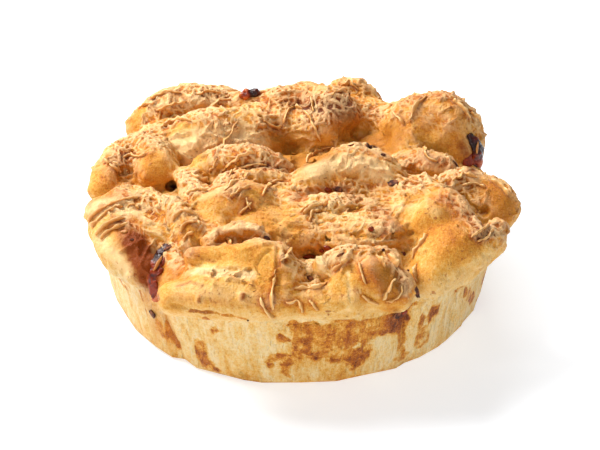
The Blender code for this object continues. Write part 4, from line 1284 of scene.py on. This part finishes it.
def bake_colours(mesh):
    """Keeps at each point all the numbers that the dough's finish reads."""
    points, normals = places_of(mesh), normals_of(mesh)
    rise = rise_above_heap(points)
    cheese = cheese_cover(points, normals)
    relief = stands_out(mesh, RELIEF_PASSES)
    on_skin = np.array([bare_skin.find_nearest(place)[0] for place in points.tolist()])
    top = step_up(points[:, 2] / MM, *TOP_HEIGHT)
    bake = bake_of(points, normals, on_skin, rise, top)
    spots = (1 - top) * SPOT_BAKE * step_up(ripple(points, SPOT_SIZE, 14, 2), *SPOT_EDGE)
    shelter = sheltered(mesh)
    valley_shade_marks = marks(on_skin, VALLEY_SHADE_MARKS)
    # Valleys take a darker, saturated orange: partly the thin dough there, partly painted shade
    valley = 0.25 * step_up(-rise, *VALLEY_DEPTH) * top * (1 - 0.8 * cheese)
    shown = np.maximum(cheese, marks(on_skin, CRUSTY)) * (1 - np.clip(valley_shade_marks, 0, 1))
    for name, values in (
            ("bake", bake), ("patch", marks(on_skin, WALL_PATCHES) + spots),
            ("stain", marks(on_skin, STAINS)), ("orange", marks(on_skin, ORANGE)),
            ("burnt", marks(on_skin, BURNT_AND_HOLE_SHADE)), ("cream", marks(on_skin, CREAM_AND_SHEEN)),
            ("valley", valley + valley_shade_marks), ("shelter", shelter), ("cheese", shown),
            ("relief", 0.5 + relief * RELIEF_SHARE), ("top", top)):
        keep_number(mesh, name, values)
    print("sheltered from", round(shelter.min(), 2), "to", round(shelter.max(), 2))
    print("bake from", round(bake.min(), 2), "to", round(bake.max(), 2))
    print("relief from", round(relief.min(), 2), "to", round(relief.max(), 2), "mm")


bake_colours(crust.data)

# %% [markdown]
# ## Finishes
# Both dough and cheese are made of a few noises that shift the bake number, and a colour ramp that turns bake
# into colour: cream, pale gold, gold, orange brown, burnt. A little light passes below the surface, as in
# real bread. Noise over the bump gives pores and grain that are too small to be worth faces.

# %% Helpers for finishes
# how baked: colour, as linear red, green and blue
BAKED_COLOURS = (
    (0.00, (0.83, 0.62, 0.315)),
    (0.16, (0.80, 0.51, 0.172)),
    (0.36, (0.72, 0.345, 0.054)),
    (0.54, (0.60, 0.218, 0.021)),
    (0.74, (0.41, 0.105, 0.012)),
    (1.00, (0.14, 0.030, 0.008)),
)


def new_finish(name):
    made = bpy.data.materials.new(name)
    made.use_nodes = True
    return made, made.node_tree, made.node_tree.nodes["Principled BSDF"]


def number(tree, name):
    return add_node(tree, "ShaderNodeAttribute", attribute_name=name).outputs["Fac"]


def grain_noise(tree, scale, detail=3.0, roughness=0.6, stretch=(1, 1, 1)):
    spot = add_node(tree, "ShaderNodeTexCoord").outputs["Object"]
    mapped = add_node(tree, "ShaderNodeMapping", {"Vector": spot, "Scale": stretch}).outputs[0]
    settings = {"Vector": mapped, "Scale": scale, "Detail": detail, "Roughness": roughness}
    return add_node(tree, "ShaderNodeTexNoise", settings).outputs[0]


def shifted(tree, value, noise_value, strength):
    """value + (noise - 0.5) * strength"""
    centred = maths(tree, "SUBTRACT", noise_value, 0.5)
    return plus(tree, value, times(tree, centred, strength))


def stepped(tree, value, start, full):
    """0 below start, 1 above full, and smooth between."""
    given = {"Value": value, "From Min": start, "From Max": full}
    return add_node(tree, "ShaderNodeMapRange", given, interpolation_type="SMOOTHSTEP").outputs[0]


def ramp(tree, factor, stops):
    node = add_node(tree, "ShaderNodeValToRGB", {0: factor})
    while len(node.color_ramp.elements) < len(stops):
        node.color_ramp.elements.new(0.5)
    for element, (place, colour) in zip(node.color_ramp.elements, stops):
        element.position = place
        element.color = (*colour, 1)
    return node.outputs[0]


def mixed(tree, factor, a, b):
    node = add_node(tree, "ShaderNodeMix", {0: factor}, data_type="RGBA")
    for socket, value in ((node.inputs[6], a), (node.inputs[7], b)):
        if isinstance(value, bpy.types.NodeSocket):
            tree.links.new(value, socket)
        else:
            socket.default_value = (*value, 1)
    return node.outputs[2]


def bumped(tree, layers):
    """Bumps on top of each other: (noise, depth in metres)."""
    normal = None
    for height, depth in layers:
        inputs = {"Height": height, "Distance": depth, "Strength": 1.0}
        if normal is not None:
            inputs["Normal"] = normal
        normal = add_node(tree, "ShaderNodeBump", inputs).outputs[0]
    return normal


def join_surface(tree, surface, colour, roughness, layers):
    """Links a finish's colour, roughness and bumps to its surface."""
    tree.links.new(colour, surface.inputs["Base Color"])
    tree.links.new(roughness, surface.inputs["Roughness"])
    tree.links.new(bumped(tree, layers), surface.inputs["Normal"])


def let_light_in(surface, weight, radius):
    """A little light passes below the surface."""
    surface.inputs["Subsurface Weight"].default_value = weight
    surface.inputs["Subsurface Radius"].default_value = radius
    surface.inputs["Subsurface Scale"].default_value = 1.0


print("colours of the bake:", len(BAKED_COLOURS))

# %% Baked dough
STAIN_COLOUR = (0.24, 0.045, 0.003)
ORANGE_COLOUR = (0.66, 0.19, 0.014)
# Painted shade in valleys, partly the saturated colour of the thin dough there
VALLEY_SHADE_COLOUR = (0.46, 0.175, 0.017)
# Burnt spots, and painted shade on the floors of holes
BURNT_AND_HOLE_SHADE_COLOUR = (0.05, 0.012, 0.008)
CREST_COLOUR = (0.87, 0.58, 0.285)
BLOTCH_COLOUR = (0.46, 0.14, 0.017)
# Painted shade: the saturated orange of light bounced about in sheltered hollows
SHELTER_SHADE_COLOUR = (0.65, 0.305, 0.036)
PALE_GRAIN_COLOUR = (0.88, 0.58, 0.29)
# Pale dough, painted sheen and painted light
CREAM_AND_SHEEN_COLOUR = (0.89, 0.605, 0.29)
SPECK_COLOUR = (0.43, 0.13, 0.03)
# How much of each colour covers the baked one
SHELTER_SHADE_SHARE, VALLEY_SHADE_SHARE, ORANGE_SHARE, CREAM_AND_SHEEN_SHARE = 0.68, 0.85, 0.8, 0.85
CREST_SHARE, STRAND_SHARE, BLOTCH_SHARE, GRAIN_SHARE = 0.7, 0.75, 0.72, 0.16
# What crisp patches, crevices, the edges of strands and the gaps between strands add to the bake; in the
# crevices and gaps this is browned cheese and painted shade
PATCH_BAKE, CREVICE_BROWN_AND_SHADE, HALO_BAKE, GAP_BROWN_AND_SHADE = 0.64, 0.6, 0.24, 0.16
# Noises that shift the bake: waves per metre, detail, strength
BAKE_NOISES = ((160, 4, 0.24), (620, 3, 0.5), (1400, 2, 0.5))
CHEESE_NOISE, WALL_NOISE = 0.45, 0.9
BAND_WAVES = {"Scale": 78.0, "Distortion": 13.0, "Detail": 1.0, "Detail Scale": 0.8}
# Depths of the bumps: strands and specks, pores, grain, wrinkles of the wall
STRAND_BUMP, PORE_BUMP, GRAIN_BUMP, WALL_BUMP = 0.0004, 0.0009, 0.0005, 0.0036


def sharp_mark(tree, name, scale, strength, start=0.38, full=0.62):
    """A mark with a ragged, rather sharp edge, from a soft number."""
    soft = number(tree, name)
    ragged = shifted(tree, soft, grain_noise(tree, scale, 4), times(tree, soft, strength))
    return stepped(tree, ragged, start, full)


def strand_pattern(tree, direction):
    """Locally parallel strands, broken here and there: 1 on a strand, 0 between strands."""
    spot = add_node(tree, "ShaderNodeTexCoord").outputs["Object"]
    bands = add_node(tree, "ShaderNodeTexWave", {"Vector": spot, **BAND_WAVES}, bands_direction=direction)
    broken = stepped(tree, grain_noise(tree, 170, 2), 0.38, 0.52)
    return times(tree, stepped(tree, bands.outputs["Fac"], 0.45, 0.95), broken)


def wall_streaks(tree):
    """Upright wrinkles on the wall, finer around than up."""
    return grain_noise(tree, 300, 4, 0.62, (1, 1, 0.28))


def dough_bake(tree, cheese, strands, relief, wall):
    """How baked each place is: the number kept at the points, shifted by noises and marks."""
    bake = number(tree, "bake")
    for scale, detail, strength in BAKE_NOISES:
        bake = shifted(tree, bake, grain_noise(tree, scale, detail), strength)
    bake = shifted(tree, bake, grain_noise(tree, 330, 5, 0.7), times(tree, cheese, CHEESE_NOISE))
    bake = shifted(tree, bake, wall_streaks(tree), times(tree, wall, WALL_NOISE))
    crisp = stepped(tree, grain_noise(tree, 130, 5, 0.7), 0.25, 0.62)
    # Crevices and gaps between strands under the cheese get darker: browned cheese edges and painted shade
    crevice = maths(tree, "MAXIMUM", maths(tree, "SUBTRACT", 0.47, relief), 0.0)
    for extra, strength in (
            (times(tree, sharp_mark(tree, "patch", 260, 1.0), crisp), PATCH_BAKE),
            (times(tree, crevice, cheese), CREVICE_BROWN_AND_SHADE),
            (number(tree, "halo"), HALO_BAKE),
            (maths(tree, "SUBTRACT", cheese, strands), GAP_BROWN_AND_SHADE)):
        bake = plus(tree, bake, times(tree, extra, strength))
    return bake


def dark_specks(tree, top):
    """Small dark specks that lie in crowds, fewer on the wall."""
    crowded = stepped(tree, grain_noise(tree, 60, 2), 0.42, 0.62)
    speck = times(tree, stepped(tree, grain_noise(tree, 420, 3), 0.61, 0.67), crowded)
    return times(tree, speck, plus(tree, times(tree, top, 0.7), 0.15))


def dough_layers(tree, cheese, strands, relief, top, speck):
    """The colours over the baked one, the lowest first, as (how much, colour)."""
    # Painted shade: the more sheltered a point is, the more it takes the saturated orange
    shelter_shade = stepped(tree, number(tree, "shelter"), 0.25, 0.8)
    mottled = shifted(tree, relief, grain_noise(tree, 210, 3), 0.7)
    blotch = stepped(tree, grain_noise(tree, 300, 5, 0.62), 0.56, 0.64)
    grains = stepped(tree, grain_noise(tree, 1250, 2), 0.55, 0.68)
    return (
        (times(tree, shelter_shade, times(tree, top, SHELTER_SHADE_SHARE)), SHELTER_SHADE_COLOUR),
        (times(tree, number(tree, "valley"), VALLEY_SHADE_SHARE), VALLEY_SHADE_COLOUR),
        (times(tree, number(tree, "orange"), ORANGE_SHARE), ORANGE_COLOUR),
        # Cream: pale dough, and painted sheen and light
        (times(tree, sharp_mark(tree, "cream", 240, 0.9, 0.15, 0.85), CREAM_AND_SHEEN_SHARE), CREAM_AND_SHEEN_COLOUR),
        (times(tree, stepped(tree, mottled, 0.46, 0.72), times(tree, cheese, CREST_SHARE)), CREST_COLOUR),
        (times(tree, strands, STRAND_SHARE), CREST_COLOUR),
        (times(tree, blotch, times(tree, cheese, BLOTCH_SHARE)), BLOTCH_COLOUR),
        (speck, SPECK_COLOUR),
        (times(tree, grains, GRAIN_SHARE), PALE_GRAIN_COLOUR),
        (sharp_mark(tree, "stain", 420, 1.2, 0.1, 0.8), STAIN_COLOUR),
        # Burnt spots, and painted shade in holes
        (sharp_mark(tree, "burnt", 700, 1.0, 0.2, 0.7), BURNT_AND_HOLE_SHADE_COLOUR),
    )


def dough_finish():
    made, tree, surface = new_finish("baked dough")
    cheese, relief, top = (number(tree, name) for name in ("cheese", "relief", "top"))
    wall = maths(tree, "SUBTRACT", 1.0, top)
    strands = maths(tree, "MAXIMUM", strand_pattern(tree, "X"), strand_pattern(tree, "Y"))
    strands = times(tree, strands, cheese)
    speck = dark_specks(tree, top)
    colour = ramp(tree, dough_bake(tree, cheese, strands, relief, wall), BAKED_COLOURS)
    for share, over in dough_layers(tree, cheese, strands, relief, top, speck):
        colour = mixed(tree, share, colour, over)
    join_surface(tree, surface, colour, shifted(tree, 0.42, grain_noise(tree, 240, 3), 0.25), [
        (plus(tree, strands, speck), STRAND_BUMP),
        (grain_noise(tree, 450, 4), PORE_BUMP),
        (grain_noise(tree, 1300, 3), GRAIN_BUMP),
        (times(tree, wall_streaks(tree), wall), WALL_BUMP)])
    let_light_in(surface, 0.08, (0.003, 0.0012, 0.0004))
    surface.inputs["Specular IOR Level"].default_value = 0.12
    return made


# %% Melted cheese
CHEESE_COLOURS = (
    (0.00, (0.50, 0.19, 0.035)),
    (0.28, (0.68, 0.35, 0.09)),
    (0.60, (0.78, 0.47, 0.18)),
    (1.00, (0.86, 0.60, 0.32)),
)
CROWN_SHARE = 0.70
HERO_WIDTH, HERO_FLATNESS = 0.0042, 0.32


def cheese_finish():
    made, tree, surface = new_finish("melted cheese")
    crown = times(tree, number(tree, "crown"), CROWN_SHARE)
    pale = shifted(tree, crown, grain_noise(tree, 55, 3), 0.55)
    pale = shifted(tree, pale, grain_noise(tree, 500, 3), 0.55)
    colour = ramp(tree, pale, CHEESE_COLOURS)
    rough = shifted(tree, 0.42, grain_noise(tree, 300, 2), 0.2)
    join_surface(tree, surface, colour, rough, [(grain_noise(tree, 900, 3), 0.0004)])
    let_light_in(surface, 0.12, (0.003, 0.0015, 0.0006))
    return made


# %% Lay the strands that stand out
courses = [smooth_course(pixels_on_crust(pixels)) for pixels in HERO_STRANDS]
drawn = drawn_curves("drawn strands", courses)
cheese = cheese_finish()
strands = node_made("cheese_strands", crust.data.copy(), melt_strands, {
    "Drawn strands": drawn, "Finish": cheese, "Width": HERO_WIDTH, "Flatness": HERO_FLATNESS, "Lift": 0.0})
bpy.data.objects.remove(drawn)
print("strands:", len(strands.data.polygons), "faces", len(strands.data.vertices), "points")

# %% The browned edge that each strand leaves on the crust
HALO_NEAR = 0.3 * MM
HALO_FAR = 1.8 * MM


def add_halo(mesh, other):
    tree = tree_of(other)
    found = [tree.find_nearest(place, HALO_FAR)[3] for place in places_of(mesh).tolist()]
    away = np.array([distance or HALO_FAR for distance in found])
    keep_number(mesh, "halo", 1 - step_up(away, HALO_NEAR, HALO_FAR))


add_halo(crust.data, strands.data)
crust.data.materials.clear()
crust.data.materials.append(dough_finish())
print("nodes of the dough's finish:", len(crust.data.materials[0].node_tree.nodes))

# %% [markdown]
# ## Red filling in the seams
# A dark, wet piece shows in the left front seam, another in the side of the right back dome, and a small one
# between two rolls at the back. Each is a bar along a course on the crust, half sunk into it, with lumps. Its
# skin is dark and glossy and its flesh is red, so colour follows the height of the lumps.

# %% Filling
# places of a course, width and thickness, all in millimetres
FILLING = {
    "filling_left_front": (
        ((-60, -62, 55), (-63, -67, 51), (-65, -72, 47), (-64, -77, 41), (-65, -77, 34)), 6.5, 4.5),
    "filling_right_back": (((94, 29, 66), (97, 27, 59), (97, 25, 52), (95, 22, 46)), 9, 5),
    "filling_back": (((-19, 72, 67), (-24, 72, 67), (-29, 71, 66)), 6, 6),
}
FILLING_RINGS = 60
FILLING_SIDES = 28
EVENING_PASSES = 40
BAR_END = 0.25
BAR_TIP = 0.3
LUMP_HEIGHT, LUMP_SIZE = 0.7 * MM, 3.2 * MM
# From wet and dark to red flesh, by the height of the lumps
FILLING_COLOURS = (
    (0.00, (0.018, 0.004, 0.004)),
    (0.42, (0.07, 0.008, 0.004)),
    (0.66, (0.27, 0.030, 0.004)),
    (1.00, (0.52, 0.11, 0.012)),
)


def evened(rows):
    """The rows with each inner one drawn towards its neighbours."""
    for _ in range(EVENING_PASSES):
        rows[1:-1] = rows[1:-1] / 2 + (rows[:-2] + rows[2:]) / 4
    return rows


def along_skin(tree, points, count):
    """Evenly spaced places on the skin, along the curve through the points: (place, normal, tangent)."""
    path = spline([(*p, 0) for p in points])[:, :3] * MM
    picks = np.linspace(0, len(path) - 1, count)
    smooth = np.array([[np.interp(k, range(len(path)), path[:, axis]) for axis in range(3)] for k in picks])
    found = [tree.find_nearest(Vector(p))[:2] for p in smooth]
    places = evened(np.array([place for place, _ in found]))
    normals = evened(np.array([normal for _, normal in found]))
    ahead_of = np.gradient(places, axis=0)
    return [(p, n / np.linalg.norm(n), a / np.linalg.norm(a)) for p, n, a in zip(places, normals, ahead_of)]


def add_bar(name, course, half_width, half_thickness):
    """A bar along a course on the skin, with an oval section that narrows at both ends."""
    mesh = bmesh.new()
    rings = []
    last = len(course) - 1
    for k, (place, normal, ahead_of) in enumerate(course):
        size = max(1 - abs(2 * k / last - 1) ** 3, BAR_END) ** 0.5
        side = np.cross(ahead_of, normal)
        side *= half_width * size / np.linalg.norm(side)
        up = normal * half_thickness * size
        turns = [2 * math.pi * (step + 0.5) / FILLING_SIDES for step in range(FILLING_SIDES)]
        rings.append([mesh.verts.new(place + side * math.cos(t) + up * math.sin(t)) for t in turns])
    (first, _, first_ahead), (final, _, final_ahead) = course[0], course[-1]
    reach = half_thickness * BAR_TIP
    close_rings(mesh, rings, first - first_ahead * reach, final + final_ahead * reach)
    return from_bmesh(name, mesh)


def filling_finish():
    made, tree, surface = new_finish("red filling")
    depth = shifted(tree, number(tree, "lump"), grain_noise(tree, 350, 4), 0.6)
    colour = ramp(tree, depth, FILLING_COLOURS)
    rough = shifted(tree, 0.13, grain_noise(tree, 500, 3), 0.12)
    join_surface(tree, surface, colour, rough, [(grain_noise(tree, 500, 4), 0.0008)])
    let_light_in(surface, 0.08, (0.003, 0.0006, 0.0003))
    surface.inputs["Specular IOR Level"].default_value = 0.35
    return made


red = filling_finish()
fillings = []
for name, (course_points, width, thickness) in FILLING.items():
    course = along_skin(bare_skin, course_points, FILLING_RINGS)
    piece = add_bar(name + "_piece", course, width / 2 * MM, thickness / 2 * MM)
    piece_points, piece_normals = places_of(piece.data), normals_of(piece.data)
    lumps = ripple(piece_points, LUMP_SIZE, 21, 3)
    move_points(piece.data, piece_points + piece_normals * (LUMP_HEIGHT * lumps)[:, None])
    down = np.linspace(0, 1, len(piece_points))
    keep_number(piece.data, "lump", 0.05 + 0.75 * step_up(down, 0.25, 0.7) + 0.35 * lumps)
    piece.data.materials.append(red)
    piece.data.shade_smooth()
    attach(piece, "root")
    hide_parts(name)
    fillings.append(piece)
print("filling:", [piece.name for piece in fillings])

# %% [markdown]
# ## Charred flakes, red crumbs and light ribbons
# A few thin dark flakes, crumbs of filling and ribbons of cheese lie on the crust. Each is a lens, made
# ragged by noise and bent a little, that lies where the ray through its pixel meets the loaf.

# %% Flakes and crumbs: pixel, length and width in millimetres, turn in degrees
FLAKES = (
    ((394, 183), 6, 3.6, -5), ((415, 290), 8.5, 3, -48), ((383, 155), 2.4, 1.4, 10),
    ((371, 147), 4, 1.6, 5), ((153, 314), 4.5, 4, 80), ((168, 247), 4.5, 3.6, 60), ((398, 315), 7, 4.2, -20),
    ((338, 189), 5, 2.4, -15), ((456, 165), 6, 1.1, -40), ((350, 146), 6, 0.9, -3), ((267, 238), 3, 1.6, -25),
    ((404, 254), 2, 1.6, 90), ((408, 271), 1.6, 1.2, 0), ((248, 320), 0.9, 0.8, 0), ((132, 240), 2, 1.2, 0),
    ((383, 250), 1.8, 1.4, 0), ((340, 255), 4, 1.2, 25), ((310, 278), 3.4, 2, -20),
)
CRUMBS = (
    ((328, 248), 4, 2.6, -20), ((322, 251), 2.2, 1.8, 0), ((371, 229), 2.6, 2.2, 0), ((309, 257), 5, 2.6, 0),
    ((160, 272), 4, 2.4, 50), ((164, 262), 4, 2, 60), ((404, 312), 3, 2.2, 0), ((328, 190), 4, 2.2, -10),
    ((468, 162), 9, 5, 72), ((154, 288), 8, 4.5, 80),
)
# A light ribbon across the dark filling, and pale bits of melted cheese
RIBBONS = (((158, 263), 8.5, 1.3, 57), ((477, 148), 6, 1.2, 75), ((124, 232), 3, 1.6, 20))
FLAKE_THICKNESS = 1.1
RIBBON_THICKNESS = 1.4
CRUMB_THICKNESS = 2.2
LENS_CURL = 0.35
LENS_RAGGED = 0.45
LENS_WAVES = 1.8
LENS_SHIFT = 3.7
CHARRED_COLOURS = (
    (0.32, (0.022, 0.007, 0.004)),
    (0.50, (0.085, 0.020, 0.008)),
    (0.68, (0.32, 0.10, 0.03)),
)


def first_met(pixel, trees):
    """Place and outward direction where the ray through a pixel first meets any of the skins."""
    hits = [tree.ray_cast(EYE, ray_through(*pixel)) for tree in trees]
    place, normal, _, _ = min((hit for hit in hits if hit[0] is not None), key=lambda hit: hit[3])
    return place, normal


def lenses(name, table, thickness, trees):
    """One mesh of ragged lenses that lie on the loaf."""
    mesh = bmesh.new()
    for k, (pixel, length, width, turn) in enumerate(table):
        place, normal = first_met(pixel, trees)
        pointing = right * math.cos(math.radians(turn)) + above * math.sin(math.radians(turn))
        along = (pointing - normal * pointing.dot(normal)).normalized()
        side = normal.cross(along)
        made = bmesh.ops.create_icosphere(mesh, subdivisions=3, radius=1)["verts"]
        for vertex in made:
            x, y, z = vertex.co
            spot = vertex.co * LENS_WAVES + Vector((LENS_SHIFT * k, 0, 0))
            ragged = 1 + LENS_RAGGED * noise.noise(spot)
            lift = z * thickness / 2 + LENS_CURL * (x * x + y * y)
            flat = along * (x * ragged * length / 2) + side * (y * ragged * width / 2)
            vertex.co = place + (flat + normal * lift) * MM
    return from_bmesh(name, mesh)


def charred_finish():
    made, tree, surface = new_finish("charred flake")
    colour = ramp(tree, grain_noise(tree, 420, 4, 0.65), CHARRED_COLOURS)
    rough = shifted(tree, 0.6, grain_noise(tree, 500, 3), 0.3)
    join_surface(tree, surface, colour, rough, [(grain_noise(tree, 700, 3), 0.0006)])
    surface.inputs["Specular IOR Level"].default_value = 0.2
    return made


skins = [tree_of(piece.data) for piece in (crust, *fillings)]
small_pieces = []
for name, table, thickness, finish in (
        ("charred_flakes", FLAKES, FLAKE_THICKNESS, charred_finish()),
        ("red_crumbs", CRUMBS, CRUMB_THICKNESS, red),
        ("light_ribbons", RIBBONS, RIBBON_THICKNESS, cheese)):
    piece = lenses(name, table, thickness, skins)
    keep_number(piece.data, "lump", np.full(len(piece.data.vertices), 0.6))
    piece.data.materials.append(finish)
    piece.data.shade_smooth()
    small_pieces.append(piece)
    print(name, len(piece.data.polygons), "faces")

# %% The crust, the cheese and the small pieces stand for the measured loaf
for piece in (crust, strands, *small_pieces):
    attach(piece, "root")
    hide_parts("bread")

# %% [markdown]
# ## Floor and light
# A plain white floor that glows a little and a bright surround fill the shadows. A window on the left,
# slightly behind, shapes the crests, a broader one stands at the back, and two weak lights fill the front.

# %% Floor, surround and light
FLOOR_REACH = 4
FLOOR_GLOW = 0.57
SURROUND_GLOW = 0.25
LIGHTS_AIM = Vector((0, 0, 0.03))
floor_mesh = bpy.data.meshes.new("floor")
corners = [(x * FLOOR_REACH, y * FLOOR_REACH, 0) for x, y in ((-1, -1), (1, -1), (1, 1), (-1, 1))]
floor_mesh.from_pydata(corners, [], [(0, 1, 2, 3)])
floor = new_object("floor", floor_mesh)
paper, _, paper_surface = new_finish("white paper")
paper_surface.inputs["Base Color"].default_value = (0.58, 0.60, 0.63, 1)
paper_surface.inputs["Emission Color"].default_value = (1, 1, 1, 1)
paper_surface.inputs["Emission Strength"].default_value = FLOOR_GLOW
paper_surface.inputs["Roughness"].default_value = 0.9
paper_surface.inputs["Specular IOR Level"].default_value = 0.0
floor_mesh.materials.append(paper)

surround = bpy.data.worlds.new("surround")
surround.use_nodes = True
surround.node_tree.nodes["Background"].inputs["Color"].default_value = (1, 1, 1, 1)
surround.node_tree.nodes["Background"].inputs["Strength"].default_value = SURROUND_GLOW
bpy.context.scene.world = surround
bpy.context.scene.view_settings.view_transform = "Standard"


def add_light(name, place, size, power):
    data = bpy.data.lights.new(name, "AREA")
    data.size = size
    data.energy = power
    light = bpy.data.objects.new(name, data)
    light.location = place
    light.rotation_euler = (LIGHTS_AIM - Vector(place)).to_track_quat("-Z", "Y").to_euler()
    bpy.context.scene.collection.objects.link(light)


add_light("window", (-0.8, 0.35, 0.95), 0.5, 24.6)
add_light("back window", (-0.15, 1.0, 0.95), 0.8, 13.2)
add_light("front fill", (-0.3, -1.35, 0.45), 1.0, 8.6)
add_light("right fill", (1.2, -0.7, 0.5), 1.0, 2.4)
